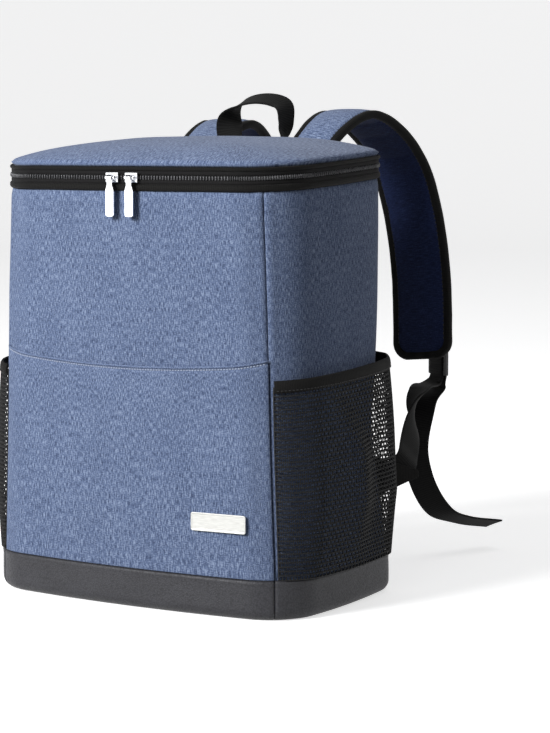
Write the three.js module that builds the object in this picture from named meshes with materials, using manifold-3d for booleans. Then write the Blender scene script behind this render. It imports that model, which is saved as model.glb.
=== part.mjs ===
// A soft insulated cooler backpack that stands by itself: padded walls, a domed zipped lid,
// a leathercloth base, a front pocket, two net side pockets, a webbing handle and two padded straps.
// Millimetres, +Z up. The origin is the middle of the base's underside; the front faces -Y.
import * as THREE from "three";
import { mergeVertices } from "three/addons/utils/BufferGeometryUtils.js";
import Module from "manifold-3d";

const wasm = await Module();
wasm.setup();

const { lerp, clamp, smoothstep, degToRad } = THREE.MathUtils;

// The bag's outline
const BASE_WIDTH = 320;
const FRONT_REACH = 90; // from the origin to the front corners
const BACK_REACH = 104; // from the origin to the back panel at the floor
const FRONT_BOW = 12;
const SIDE_BOW = 8;
const FRONT_RADIUS = 38;
const REAR_RADIUS = 30;
const WALL_TOP = 368; // at the front
const TOP_RISE = 11; // how much higher the walls end at the back

// Where the seams and the label stand, in stations round the outline, see outlineAt
const FRONT_SEAM = 1.38;
const REAR_SEAM = 3.62;

// Cloth, foam and leathercloth
const GAP = 0.3;
const WALL = 6;
const FLOOR = 8;
const BASE_BAND_HEIGHT = 36;
const BASE_BAND_CLOTH = 2;
const BASE_BAND_FOOT = 8;
const BASE_EDGE_RADIUS = 10;

// Front pocket and label
const POCKET_TOP = 226; // at the seams
const POCKET_SAG = 10;
const POCKET_CLOTH = 1.4;
const POCKET_FULLNESS = 2.4;
const LABEL = { width: 53, height: 16, thickness: 1.4, x: 97, z: 84 };

// Net side pockets
const NET_CLOTH = 1.4;
const NET_BULGE = 15;
const NET_MOUTH = 0.65; // how far the bound top stands out, as a share of the bulge
const NET_TOP_FRONT = 208;
const NET_TOP_REAR = 219;
const NET_COLUMNS = 7;
const NET_ROWS = 7;
const NET_BAR = 0.26; // half of a bar's width, as a share of the pitch
const NET_BINDING_HEIGHT = 11;
const NET_BINDING_CLOTH = 2.6;

// Zip and lid
const LOWER_BINDING_HEIGHT = 6;
const UPPER_BINDING_HEIGHT = 3.6;
const ZIP_TAPE_HEIGHT = 2.8;
const TEETH_HEIGHT = 4.4;
const BINDING_CLOTH = 3.2;
const BINDING_PROUD = 1;
const ZIP_TAPE_CLOTH = 1.2;
const TEETH_CLOTH = 2.4;
const LID_CROWN = 13;
const LID_THICKNESS = 6;

// Zip sliders and pulls
const SLIDER = { length: 13, height: 8.6, plate: 1.6, post: 2, bar: 1.6, x: 0, spread: 20.4 };
const PULL = { width: 8.6, neck: 5.4, neckLength: 9, length: 34, thickness: 1.6, ring: 5 };
const PULL_CLEARANCE = 0.4;

// Webbing and handle
const WEBBING_WIDTH = 25;
const WEBBING_CLOTH = 1.8;
const HANDLE_FOOT = 20; // half of the distance between the handle's feet
const HANDLE_BASE = 364;
const HANDLE_RISE = 87;
const HANDLE_LEAN = 22;
const HANDLE_SPREAD = 14; // how far the left leg bows out
const HANDLE_RIGHT_SHARE = 0.6; // the right leg bows out less

// Shoulder straps
const STRAP_ROOT = 58;
const STRAP_ROOT_HEIGHT = 350;
const STRAP_ROOT_WIDTH = 46;
const STRAP_WIDTH = 64;
const STRAP_THICKNESS = 11;
const STRAP_EDGE = 5.6;
const STRAP_BINDING = 8.5;
const STRAP_END_RADIUS = 17;
const STRAP_REACH = 150;
const STRAP_ARCH = 86;
const STRAP_DROP = 153;
const STRAP_SPLAY = 53;
const LEFT_ARCH_SHARE = 0.9; // the left strap's arch is a little lower
const LEFT_LEAN = 6; // and leans outwards

// Strap ends
const BUCKLE = { width: 34, height: 27, thickness: 4.2, rim: 4, turn: -33 };
const BUCKLE_HANG = { aside: 7, behind: 19.4, below: 3 }; // from the strap's end to the buckle's middle
const BUCKLE_LOOP = 64; // how far the buckle's webbing runs up the strap
const GUSSET = { low: 83, high: 122, reach: 46, turn: 55, blunt: 6, cloth: 2, stand: 0.9 };
// Where the lower webbing is sewn on, and where it comes in over the gusset: shares of the
// gusset's reach and height.
const WEBBING_SEWN = { reach: 0.56, height: 0.565 };
const WEBBING_LEAD = { reach: 0.76, height: 0.795 };
// How the two webbings leave the buckle: below its lower bar, and off its middle plane.
const WEBBING_EXIT = [{ drop: 4, off: 1.5 }, { drop: 7.5, off: 7 }];
const TAIL_EXIT = [{ drop: 6, off: 0 }, { drop: 12, off: 1 }];
const WEBBING_LIFT = 15; // how far the strap's lower webbing bows up
const WEBBING_SIDE = 7;
const TAIL_REACH = 62;
const TAIL_DROP = 155;
const TAIL_SPREAD = 32;

// Sections of the body from the floor up. height: share of WALL_TOP; width: share of BASE_WIDTH;
// back: share of BACK_REACH; front and rear: shares of the two corner radii.
const SECTIONS = [
  { height: 0.0, width: 1.0, back: 1.0, front: 1.0, rear: 1.0 },
  { height: 0.1, width: 1.0, back: 1.0, front: 1.0, rear: 1.0 },
  { height: 0.26, width: 0.985, back: 0.98, front: 1.0, rear: 1.9 },
  { height: 0.42, width: 0.972, back: 0.975, front: 1.0, rear: 2.1 },
  { height: 0.57, width: 0.966, back: 0.975, front: 1.02, rear: 1.5 },
  { height: 0.76, width: 0.957, back: 0.985, front: 1.08, rear: 1.2 },
  { height: 1.0, width: 0.945, back: 1.0, front: 1.2, rear: 1.1 },
];

// The strap's middle line. splay: share of STRAP_SPLAY; reach: share of STRAP_REACH;
// lift: share of STRAP_ARCH above the root and of STRAP_DROP below it.
const STRAP_PATH = [
  { splay: 0.0, reach: 0.0, lift: 0.0 },
  { splay: 0.01, reach: 0.0, lift: 0.3 },
  { splay: 0.02, reach: 0.015, lift: 0.5 },
  { splay: 0.08, reach: 0.1, lift: 0.73 },
  { splay: 0.16, reach: 0.45, lift: 1.0 },
  { splay: 0.34, reach: 0.73, lift: 0.8 },
  { splay: 0.48, reach: 0.93, lift: 0.43 },
  { splay: 0.66, reach: 1.0, lift: -0.06 },
  { splay: 0.84, reach: 1.0, lift: -0.45 },
  { splay: 1.0, reach: 0.93, lift: -1.0 },
];

// Half of the handle from a foot to the crest: shares of HANDLE_SPREAD, HANDLE_RISE and HANDLE_LEAN.
const HANDLE_PATH = [
  { spread: 0.0, rise: 0.0, lean: 0.0 },
  { spread: 0.05, rise: 0.18, lean: 0.04 },
  { spread: 0.1, rise: 0.36, lean: 0.28 },
  { spread: 0.75, rise: 0.56, lean: 0.62 },
  { spread: 1.0, rise: 0.74, lean: 0.85 },
  { spread: 0.4, rise: 0.93, lean: 1.0 },
];

// The lower webbing from the buckle to the gusset. share: how far along; lift and side: shares of
// WEBBING_LIFT and WEBBING_SIDE off the straight line.
const WEBBING_PATH = [
  { share: 0.28, lift: 0.8, side: 0.9 },
  { share: 0.46, lift: 1.0, side: 0.7 },
  { share: 0.64, lift: 0.6, side: 0.0 },
  { share: 0.82, lift: 0.35, side: -0.6 },
];

// The webbing's free end: shares of TAIL_SPREAD, TAIL_REACH and TAIL_DROP from the buckle.
const TAIL_PATH = [
  { spread: -0.12, reach: -0.33, drop: 0.16 },
  { spread: -0.2, reach: -0.54, drop: 0.34 },
  { spread: -0.22, reach: -0.56, drop: 0.5 },
  { spread: -0.1, reach: -0.36, drop: 0.72 },
  { spread: 0.12, reach: -0.02, drop: 0.88 },
  { spread: 0.5, reach: 0.39, drop: 0.95 },
  { spread: 1.0, reach: 1.0, drop: 1.0 },
];

// Materials
const blueCloth = () => new THREE.MeshStandardMaterial({ color: 0x57699a, roughness: 0.9 });
const navyLining = () => new THREE.MeshStandardMaterial({ color: 0x1a2340, roughness: 0.9 });
const blackTape = () => new THREE.MeshStandardMaterial({ color: 0x1d1c1b, roughness: 0.85 });
const netCloth = () => new THREE.MeshStandardMaterial({ color: 0x121212, roughness: 0.9 });
const leathercloth = () => new THREE.MeshStandardMaterial({ color: 0x34353a, roughness: 0.55 });
const nickel = () => new THREE.MeshStandardMaterial({ color: 0xd6d8dc, roughness: 0.2, metalness: 1 });
const blackPlastic = () => new THREE.MeshStandardMaterial({ color: 0x151515, roughness: 0.5 });
const labelMetal = () => new THREE.MeshStandardMaterial({ color: 0xe6e6e4, roughness: 0.4, metalness: 0.6 });

// Outline of the body

// A value of the section table at height z, joined by straight stretches.
function sectionValue(name, z) {
  const h = clamp(z / WALL_TOP, 0, 1);
  const i = Math.max(1, SECTIONS.findIndex((row) => row.height >= h - 1e-9));
  const [a, b] = [SECTIONS[i - 1], SECTIONS[i]];
  return lerp(a[name], b[name], (h - a.height) / (b.height - a.height));
}

// How far the round bottom edge draws the outline in at height z.
function tuckAt(z) {
  const below = clamp(1 - z / BASE_EDGE_RADIUS, 0, 1);
  return BASE_EDGE_RADIUS * (1 - Math.sqrt(1 - below * below));
}

// A point of the plain outline. A station counts round it from the middle of the front:
// 0 to 1 the front, to 2 its corner, to 3 the side, to 4 the rear corner, to 5 the middle of
// the back, and the same with a minus sign on the left. A taut outline has plain rear corners.
function outlineAt(station, z, taut) {
  const s = Math.abs(station);
  const half = (BASE_WIDTH * sectionValue("width", z)) / 2;
  const back = BACK_REACH * (taut ? 1 : sectionValue("back", z));
  const rf = FRONT_RADIUS * sectionValue("front", z);
  const rr = REAR_RADIUS * (taut ? 1 : sectionValue("rear", z));
  let x;
  let y;
  if (s <= 1) {
    x = s * (half - rf);
    y = -FRONT_REACH;
  } else if (s <= 2) {
    const a = ((s - 1) * Math.PI) / 2;
    x = half - rf + rf * Math.sin(a);
    y = -FRONT_REACH + rf - rf * Math.cos(a);
  } else if (s <= 3) {
    x = half;
    y = lerp(-FRONT_REACH + rf, back - rr, s - 2);
  } else if (s <= 4) {
    const a = ((s - 3) * Math.PI) / 2;
    x = half - rr + rr * Math.cos(a);
    y = back - rr + rr * Math.sin(a);
  } else {
    x = (5 - s) * (half - rr);
    y = back;
  }
  const across = x / half;
  const along = y < 0 ? y / FRONT_REACH : y / back;
  x += SIDE_BOW * across * (1 - along * along);
  y -= y < 0 ? FRONT_BOW * (1 - across * across) : 0;
  return new THREE.Vector2(station < 0 ? -x : x, y);
}

// How far the sloping top lifts a place at a depth y and a height z; the foot stays level.
function riseAt(y, z) {
  const depth = (y + FRONT_REACH) / (FRONT_REACH + BACK_REACH);
  return TOP_RISE * clamp(depth, 0, 1) * smoothstep(z / WALL_TOP, 0.5, 1);
}

// A point at a station and a height, moved outwards along the outline's normal.
function bodyPoint(station, z, out, taut = false) {
  const step = 0.02;
  const ahead = outlineAt(Math.min(station + step, 5), z, taut);
  const behind = outlineAt(Math.max(station - step, -5), z, taut);
  const tangent = ahead.sub(behind).normalize();
  const p = outlineAt(station, z, taut);
  const reach = out - tuckAt(z);
  return new THREE.Vector3(p.x + tangent.y * reach, p.y - tangent.x * reach, z + riseAt(p.y, z));
}

// The station on the front at a distance x from the middle.
function frontStation(x, z) {
  const flat = (BASE_WIDTH * sectionValue("width", z)) / 2 - FRONT_RADIUS * sectionValue("front", z);
  const turned = Math.asin(clamp((x - flat) / (FRONT_RADIUS * sectionValue("front", z)), 0, 1));
  return x < flat ? x / flat : 1 + (turned * 2) / Math.PI;
}

// The stations between two ends, with the same divisions for every piece so that facets line up.
function stationsBetween(from, to) {
  const divisions = [3, 5, 3, 5, 3];
  const marks = [];
  divisions.forEach((n, unit) => {
    for (let i = 0; i < n; i++) marks.push(unit + i / n);
  });
  const all = [...marks.slice(1).map((m) => -m), ...marks].sort((a, b) => a - b);
  const inside = all.filter((m) => m > from + 0.02 && m < to - 0.02);
  return [from, ...inside, to];
}

// The heights between two ends, again shared by every piece.
function heightsBetween(from, to) {
  const marks = [BASE_EDGE_RADIUS / 3, FLOOR + GAP, BASE_EDGE_RADIUS, BASE_BAND_HEIGHT];
  SECTIONS.forEach((row) => marks.push(row.height * WALL_TOP));
  const inside = marks.filter((m) => m > from + 1.5 && m < to - 1.5).sort((a, b) => a - b);
  return [from, ...inside, to];
}

// Solids

// A sheet of columns by rows cells with two faces, k = 0 the inner and k = 1 the outer one, whose
// corners are placed by place(i, j, k). gap(i, j) says which cells are left open.
function sheetSolid(columns, rows, place, gap = () => false) {
  const positions = [];
  for (let k = 0; k <= 1; k++) {
    for (let j = 0; j <= rows; j++) {
      for (let i = 0; i <= columns; i++) positions.push(...place(i, j, k).toArray());
    }
  }
  const at = (i, j, k) => (k * (rows + 1) + j) * (columns + 1) + i;
  const empty = (i, j) => i < 0 || j < 0 || i >= columns || j >= rows || gap(i, j);
  const index = [];
  const quad = (p, q, r, s) => index.push(p, q, r, p, r, s);
  for (let j = 0; j < rows; j++) {
    for (let i = 0; i < columns; i++) {
      if (empty(i, j)) continue;
      quad(at(i, j, 1), at(i + 1, j, 1), at(i + 1, j + 1, 1), at(i, j + 1, 1));
      quad(at(i, j, 0), at(i, j + 1, 0), at(i + 1, j + 1, 0), at(i + 1, j, 0));
      if (empty(i, j - 1)) quad(at(i, j, 0), at(i + 1, j, 0), at(i + 1, j, 1), at(i, j, 1));
      if (empty(i, j + 1)) quad(at(i + 1, j + 1, 0), at(i, j + 1, 0), at(i, j + 1, 1), at(i + 1, j + 1, 1));
      if (empty(i - 1, j)) quad(at(i, j + 1, 0), at(i, j, 0), at(i, j, 1), at(i, j + 1, 1));
      if (empty(i + 1, j)) quad(at(i + 1, j, 0), at(i + 1, j + 1, 0), at(i + 1, j + 1, 1), at(i + 1, j, 1));
    }
  }
  const geometry = new THREE.BufferGeometry();
  geometry.setAttribute("position", new THREE.Float32BufferAttribute(positions, 3));
  geometry.setIndex(index);
  return geometry;
}

// The same piece for the left side, which keeps its faces pointing out.
function sided(side, n, place) {
  if (side > 0) return place;
  return (i, j, k) => place(n - i, j, k).multiply(new THREE.Vector3(-1, 1, 1));
}

// A wall between two stations and two heights. inner and outer are distances from the outline,
// numbers or functions of station and height.
function wall({ from, to, low, high, inner, outer }) {
  const stations = stationsBetween(from, to);
  const heights = heightsBetween(low, high);
  const reach = (edge, s, z) => (typeof edge === "function" ? edge(s, z) : edge);
  return sheetSolid(stations.length - 1, heights.length - 1, (i, j, k) => {
    const [s, z] = [stations[i], heights[j]];
    return bodyPoint(s, z, reach(k ? outer : inner, s, z));
  });
}

// The back runs from the right seam round to the left one, through station 5.
function backWall({ low, high, inner, outer, seam }) {
  const right = stationsBetween(seam, 5);
  const left = right.map((s) => -s).reverse();
  const stations = [...right, ...left.slice(1)];
  const heights = heightsBetween(low, high);
  const reach = (edge, s, z) => (typeof edge === "function" ? edge(s, z) : edge);
  return sheetSolid(stations.length - 1, heights.length - 1, (i, j, k) => {
    const [s, z] = [stations[i], heights[j]];
    return bodyPoint(s, z, reach(k ? outer : inner, s, z));
  });
}

// A closed shape over the whole outline, from the axis out and back to the axis.
// share: how much of the outline; out: distance from it; at: the height whose outline counts.
function disc(rows) {
  const stations = [...stationsBetween(-4.99, 4.99)];
  stations[0] = -5;
  stations[stations.length - 1] = 5;
  const profile = rows.map(() => new THREE.Vector2(1, 0));
  const geometry = new THREE.LatheGeometry(profile, stations.length - 1);
  const position = geometry.getAttribute("position");
  stations.forEach((station, i) => {
    rows.forEach((row, j) => {
      const middle = (BACK_REACH * sectionValue("back", row.at) - FRONT_REACH) / 2;
      const p = bodyPoint(station, row.at, row.out);
      const [x, y] = [p.x * row.share, lerp(middle, p.y, row.share)];
      position.setXYZ(i * rows.length + j, x, y, row.z + riseAt(y, row.z));
    });
  });
  geometry.deleteAttribute("normal");
  geometry.deleteAttribute("uv");
  return geometry;
}

// A flat band along a smooth line. across(t) gives its width's direction at a share t of the line.
function ribbon({ points, across, width, cloth, steps, side = 1 }) {
  const curve = new THREE.CatmullRomCurve3(points, false, "centripetal");
  const place = (i, j, k) => {
    const t = i / steps;
    const tangent = curve.getTangentAt(t);
    const broad = across(t).clone();
    broad.addScaledVector(tangent, -broad.dot(tangent)).normalize();
    const thin = new THREE.Vector3().crossVectors(tangent, broad);
    const p = curve.getPointAt(t);
    p.addScaledVector(broad, (j - 0.5) * width);
    return p.addScaledVector(thin, (k - 0.5) * cloth);
  };
  return sheetSolid(steps, 1, sided(side, steps, place));
}

function toManifold(geometry) {
  const bare = geometry.index ? geometry.clone() : geometry;
  bare.deleteAttribute("normal");
  bare.deleteAttribute("uv");
  const merged = mergeVertices(bare);
  const vertProperties = new Float32Array(merged.getAttribute("position").array);
  const triVerts = new Uint32Array(merged.index.array);
  return new wasm.Manifold(new wasm.Mesh({ numProp: 3, vertProperties, triVerts }));
}

function joined(...geometries) {
  const mesh = geometries.map(toManifold).reduce((whole, next) => whole.add(next)).getMesh();
  const geometry = new THREE.BufferGeometry();
  geometry.setAttribute("position", new THREE.BufferAttribute(mesh.vertProperties, 3));
  geometry.setIndex(new THREE.BufferAttribute(mesh.triVerts, 1));
  return geometry;
}

// A rectangle with round corners in the XY plane, round the origin.
function roundedRectangle(width, height, radius) {
  const [x, y] = [width / 2, height / 2];
  const path = new THREE.Shape();
  path.moveTo(-x + radius, -y);
  path.lineTo(x - radius, -y);
  path.absarc(x - radius, -y + radius, radius, -Math.PI / 2, 0);
  path.lineTo(x, y - radius);
  path.absarc(x - radius, y - radius, radius, 0, Math.PI / 2);
  path.lineTo(-x + radius, y);
  path.absarc(-x + radius, y - radius, radius, Math.PI / 2, Math.PI);
  path.lineTo(-x, -y + radius);
  path.absarc(-x + radius, -y + radius, radius, Math.PI, Math.PI * 1.5);
  return path;
}

function extruded(shape, depth, curveSegments) {
  const geometry = new THREE.ExtrudeGeometry(shape, { depth, bevelEnabled: false, curveSegments });
  return geometry.translate(0, 0, -depth / 2);
}

const bag = new THREE.Group();

function add(name, geometry, material) {
  const mesh = new THREE.Mesh(geometry, material);
  mesh.name = name;
  bag.add(mesh);
  return mesh;
}

// Base

// The leathercloth band's inner face: a flat foot below, close to the walls above.
const bandInner = (s, z) => GAP - BASE_BAND_FOOT * clamp(1 - z / (BASE_EDGE_RADIUS / 3), 0, 1);
const bandOuter = GAP + BASE_BAND_CLOTH;

add(
  "bottom_panel",
  disc([
    { share: 0, out: 0, at: BASE_EDGE_RADIUS, z: 0 },
    { share: 1, out: -BASE_EDGE_RADIUS - BASE_BAND_FOOT, at: BASE_EDGE_RADIUS, z: 0 },
    { share: 1, out: -BASE_BAND_CLOTH, at: BASE_EDGE_RADIUS, z: FLOOR },
    { share: 0, out: 0, at: BASE_EDGE_RADIUS, z: FLOOR },
  ]),
  leathercloth(),
);

// A seam's gap in stations at the middle of the wall.
function seamGap(station) {
  const a = outlineAt(station, WALL_TOP / 2, false);
  const b = outlineAt(station + 0.01, WALL_TOP / 2, false);
  return (GAP * 0.01 * 1.6) / a.distanceTo(b);
}

const frontSeam = { before: FRONT_SEAM, after: FRONT_SEAM + seamGap(FRONT_SEAM) };
const rearSeam = { before: REAR_SEAM - seamGap(REAR_SEAM), after: REAR_SEAM };

const band = { low: 0, high: BASE_BAND_HEIGHT, inner: bandInner, outer: bandOuter };
add("base_band_front", wall({ ...band, from: -frontSeam.before, to: frontSeam.before }), leathercloth());
add("base_band_right", wall({ ...band, from: frontSeam.after, to: rearSeam.before }), leathercloth());
add("base_band_left", wall({ ...band, from: -rearSeam.before, to: -frontSeam.after }), leathercloth());
add("base_band_back", backWall({ ...band, seam: rearSeam.after }), leathercloth());

// Padded walls

// The zip's layers from the walls up to the lid
const lowerBinding = { low: WALL_TOP + GAP, high: WALL_TOP + GAP + LOWER_BINDING_HEIGHT };
const lowerTape = { low: lowerBinding.high + GAP, high: lowerBinding.high + GAP + ZIP_TAPE_HEIGHT };
const teeth = { low: lowerTape.high + GAP, high: lowerTape.high + GAP + TEETH_HEIGHT };
const upperTape = { low: teeth.high + GAP, high: teeth.high + GAP + ZIP_TAPE_HEIGHT };
const upperBinding = { low: upperTape.high + GAP, high: upperTape.high + GAP + UPPER_BINDING_HEIGHT };

const padded = { low: FLOOR + GAP, high: WALL_TOP, inner: -WALL, outer: 0 };
add("front_panel", wall({ ...padded, from: -frontSeam.before, to: frontSeam.before }), blueCloth());
add("side_panel_right", wall({ ...padded, from: frontSeam.after, to: rearSeam.before }), blueCloth());
add("side_panel_left", wall({ ...padded, from: -rearSeam.before, to: -frontSeam.after }), blueCloth());
add("back_panel", backWall({ ...padded, high: upperBinding.high, seam: rearSeam.after }), navyLining());

// Zip and lid

const zipEnds = { from: -rearSeam.before, to: rearSeam.before };
const bindingFaces = { inner: BINDING_PROUD - BINDING_CLOTH, outer: BINDING_PROUD };
const tapeFaces = { inner: -ZIP_TAPE_CLOTH, outer: 0 };
const teethFaces = { inner: -ZIP_TAPE_CLOTH, outer: TEETH_CLOTH - ZIP_TAPE_CLOTH };
add("zip_binding_lower", wall({ ...zipEnds, ...lowerBinding, ...bindingFaces }), blackTape());
add("zip_tape_lower", wall({ ...zipEnds, ...lowerTape, ...tapeFaces }), blackTape());
add("zip_teeth", wall({ ...zipEnds, ...teeth, ...teethFaces }), blackPlastic());
add("zip_tape_upper", wall({ ...zipEnds, ...upperTape, ...tapeFaces }), blackTape());
add("zip_binding_upper", wall({ ...zipEnds, ...upperBinding, ...bindingFaces }), blackTape());

function lidGeometry() {
  const shares = [0, 0.35, 0.62, 0.82, 0.94, 1];
  const low = upperBinding.high + GAP;
  const dome = (share) => LID_CROWN * (1 - share ** 3.2);
  const under = shares.map((share) => ({ share, out: -1, at: WALL_TOP, z: low + dome(share) }));
  const over = shares.map((share) => {
    return { share, out: 0, at: WALL_TOP, z: low + dome(share) + LID_THICKNESS * (1 - 0.4 * share ** 6) };
  });
  return disc([...under, ...over.reverse()]);
}
add("lid", lidGeometry(), blueCloth());

// Front pocket and label

// The pocket's hem sags in the middle and its sheet stands a little full of the wall.
const pocketFull = (s, z) => {
  const up = clamp((z - BASE_BAND_HEIGHT) / (POCKET_TOP - BASE_BAND_HEIGHT), 0, 1);
  return GAP + POCKET_FULLNESS * Math.sin(Math.PI * up) * (1 - (s / FRONT_SEAM) ** 2);
};

function pocketGeometry() {
  const stations = stationsBetween(-frontSeam.before, frontSeam.before);
  const heights = heightsBetween(BASE_BAND_HEIGHT + GAP, POCKET_TOP);
  return sheetSolid(stations.length - 1, heights.length - 1, (i, j, k) => {
    const s = stations[i];
    const sag = POCKET_SAG * (1 - (s / FRONT_SEAM) ** 2);
    const z = lerp(heights[0], POCKET_TOP - sag, (heights[j] - heights[0]) / (POCKET_TOP - heights[0]));
    return bodyPoint(s, z, pocketFull(s, heights[j]) + (k ? POCKET_CLOTH : 0));
  });
}
add("front_pocket", pocketGeometry(), blueCloth());

function labelGeometry() {
  const from = frontStation(LABEL.x - LABEL.width / 2, LABEL.z);
  const to = frontStation(LABEL.x + LABEL.width / 2, LABEL.z);
  const low = LABEL.z - LABEL.height / 2;
  const back = (s, z) => pocketFull(s, z) + POCKET_CLOTH + 2 * GAP;
  const front = (s, z) => back(s, z) + LABEL.thickness;
  return wall({ from, to, low, high: LABEL.z + LABEL.height / 2, inner: back, outer: front });
}
add("label_plate", labelGeometry(), labelMetal());

// Net side pockets

// A point of the right net. u runs from the front seam to the rear one, v from the base up.
// The net is taut over the hollow of the side's rear corner and bulges between its edges.
function netPoint(u, v, out) {
  const station = lerp(frontSeam.after + 0.05, rearSeam.before - 0.02, u);
  const low = BASE_BAND_HEIGHT + GAP;
  const z = lerp(low, lerp(NET_TOP_FRONT, NET_TOP_REAR, u), v);
  const held = smoothstep(1 - u, 0, 0.12);
  const slack = lerp(1, NET_MOUTH, v ** 4) * Math.min(1, 0.35 + 2 * v);
  const bulge = NET_BULGE * Math.sin(Math.PI * u) ** 0.7 * slack;
  const body = bodyPoint(station, z, GAP + out + bulge);
  const taut = bodyPoint(station, z, GAP + out + bulge, true);
  return body.lerp(taut, held * slack);
}

// The lines of a row of square gaps with bars between them, from 0 to 1.
function barLines(n) {
  const lines = [0];
  for (let i = 0; i < n; i++) lines.push((i + NET_BAR) / n, (i + 1 - NET_BAR) / n);
  return [...lines, 1];
}

const bindingShare = NET_BINDING_HEIGHT / (NET_TOP_FRONT - BASE_BAND_HEIGHT);

function netGeometry(side) {
  const [us, vs] = [barLines(NET_COLUMNS), barLines(NET_ROWS)];
  const top = 1 - bindingShare - 0.004;
  const place = (i, j, k) => netPoint(us[i], vs[j] * top, k * NET_CLOTH);
  const gap = (i, j) => i % 2 === 1 && j % 2 === 1;
  return sheetSolid(us.length - 1, vs.length - 1, sided(side, us.length - 1, place), gap);
}

function netBindingGeometry(side) {
  const n = 14;
  const place = (i, j, k) => {
    return netPoint(i / n, 1 - bindingShare * (1 - j), GAP + k * NET_BINDING_CLOTH);
  };
  return sheetSolid(n, 1, sided(side, n, place));
}

for (const [word, side] of [["right", 1], ["left", -1]]) {
  add(`side_net_${word}`, netGeometry(side), netCloth());
  add(`side_net_binding_${word}`, netBindingGeometry(side), blackTape());
}

// Zip sliders and pulls

const teethFront = bodyPoint(0, teeth.low, teethFaces.outer).y;
const plateFront = teethFront - GAP - SLIDER.plate;
const barStand = PULL.ring / 2 + GAP; // from the plate's face to the middle of the bar
const barY = plateFront - barStand;
const barZ = (teeth.low + teeth.high) / 2;

function sliderGeometry() {
  const plate = extruded(roundedRectangle(SLIDER.length, SLIDER.height, 2.4), SLIDER.plate, 3);
  plate.rotateX(Math.PI / 2).translate(0, plateFront + SLIDER.plate / 2, 0);
  const reach = barStand + SLIDER.bar / 2;
  const bar = new THREE.BoxGeometry(PULL.neck + 2 * PULL_CLEARANCE + 2 * SLIDER.post, SLIDER.bar, SLIDER.bar);
  bar.translate(0, barY, 0);
  const posts = [-1, 1].map((side) => {
    const post = new THREE.BoxGeometry(SLIDER.post, reach, SLIDER.bar + 1);
    const x = side * (PULL.neck / 2 + PULL_CLEARANCE + SLIDER.post / 2);
    return post.translate(x, plateFront - reach / 2 + 0.2, 0);
  });
  return joined(plate, bar, ...posts);
}

// The pull hangs from a square eye round the slider's bar, and its plate widens below a neck.
function pullGeometry() {
  const ring = new THREE.Shape();
  ring.absarc(0, 0, PULL.ring / 2, 0, Math.PI * 2);
  const eye = new THREE.Path();
  eye.absarc(0, 0, SLIDER.bar / Math.SQRT2 + GAP, 0, Math.PI * 2, true);
  ring.holes.push(eye);
  const knuckle = extruded(ring, PULL.neck, 8).rotateY(Math.PI / 2);
  const [neck, half] = [PULL.neck / 2, PULL.width / 2];
  const top = -PULL.ring / 2 + 0.3;
  const shape = new THREE.Shape();
  shape.moveTo(-neck, top);
  shape.lineTo(-neck, top - PULL.neckLength * 0.5);
  shape.lineTo(-half, top - PULL.neckLength);
  shape.lineTo(-half, -PULL.length + 2);
  shape.absarc(-half + 2, -PULL.length + 2, 2, Math.PI, Math.PI * 1.5);
  shape.absarc(half - 2, -PULL.length + 2, 2, Math.PI * 1.5, Math.PI * 2);
  shape.lineTo(half, top - PULL.neckLength);
  shape.lineTo(neck, top - PULL.neckLength * 0.5);
  shape.lineTo(neck, top);
  const plate = extruded(shape, PULL.thickness, 3).rotateX(Math.PI / 2);
  return joined(knuckle, plate);
}

for (const [word, side] of [["left", -1], ["right", 1]]) {
  const x = SLIDER.x + (side * SLIDER.spread) / 2;
  add(`zip_slider_${word}`, sliderGeometry(), nickel()).position.set(x, 0, barZ);
  add(`pull_tab_${word}`, pullGeometry(), nickel()).position.set(x, barY, barZ);
}

// Handle

const backFace = bodyPoint(5, WALL_TOP, 0).y;

function handleGeometry() {
  const y = backFace + 2 * GAP + WEBBING_CLOTH / 2;
  const leg = (side, spread) => HANDLE_PATH.map((row) => {
    const x = side * (HANDLE_FOOT + row.spread * spread);
    return new THREE.Vector3(x, y + row.lean * HANDLE_LEAN, HANDLE_BASE + row.rise * HANDLE_RISE);
  });
  const crest = new THREE.Vector3(0, y + HANDLE_LEAN, HANDLE_BASE + HANDLE_RISE);
  const left = leg(-1, HANDLE_SPREAD);
  const right = leg(1, HANDLE_SPREAD * HANDLE_RIGHT_SHARE);
  const points = [...left, crest, ...right.reverse()];
  const flat = new THREE.Vector3(1, 0, 0);
  const gripped = new THREE.Vector3(0, 0.93, 0.37);
  const across = (t) => {
    if (t < 0.5) return flat.clone().lerp(gripped, smoothstep(t, 0.2, 0.42));
    return gripped.clone().lerp(flat.clone().negate(), smoothstep(t, 0.73, 0.84));
  };
  return ribbon({ points, across, width: WEBBING_WIDTH, cloth: WEBBING_CLOTH, steps: 40 });
}
add("top_handle", handleGeometry(), blackTape());

// Shoulder straps

const strapY = backFace + 2 * GAP + STRAP_THICKNESS / 2;

function strapCurve(arch, lean) {
  const points = STRAP_PATH.map((row, i) => {
    const lift = row.lift > 0 ? row.lift * arch : row.lift * STRAP_DROP;
    const x = STRAP_ROOT + row.splay * STRAP_SPLAY + (i ? lean * (1 - row.reach) : 0);
    const y = strapY + row.reach * STRAP_REACH;
    return new THREE.Vector3(x, y, STRAP_ROOT_HEIGHT + lift);
  });
  return new THREE.CatmullRomCurve3(points, false, "centripetal");
}

// A place on the strap: s along its middle line, w across it, h towards the wearer.
function strapPoint(curve, s, w, h) {
  const t = clamp(s / curve.getLength(), 0, 1);
  const tangent = curve.getTangentAt(t);
  const broad = new THREE.Vector3(1, 0, 0);
  broad.addScaledVector(tangent, -broad.dot(tangent)).normalize();
  const inwards = new THREE.Vector3().crossVectors(tangent, broad);
  return curve.getPointAt(t).addScaledVector(broad, w).addScaledVector(inwards, h);
}

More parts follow.
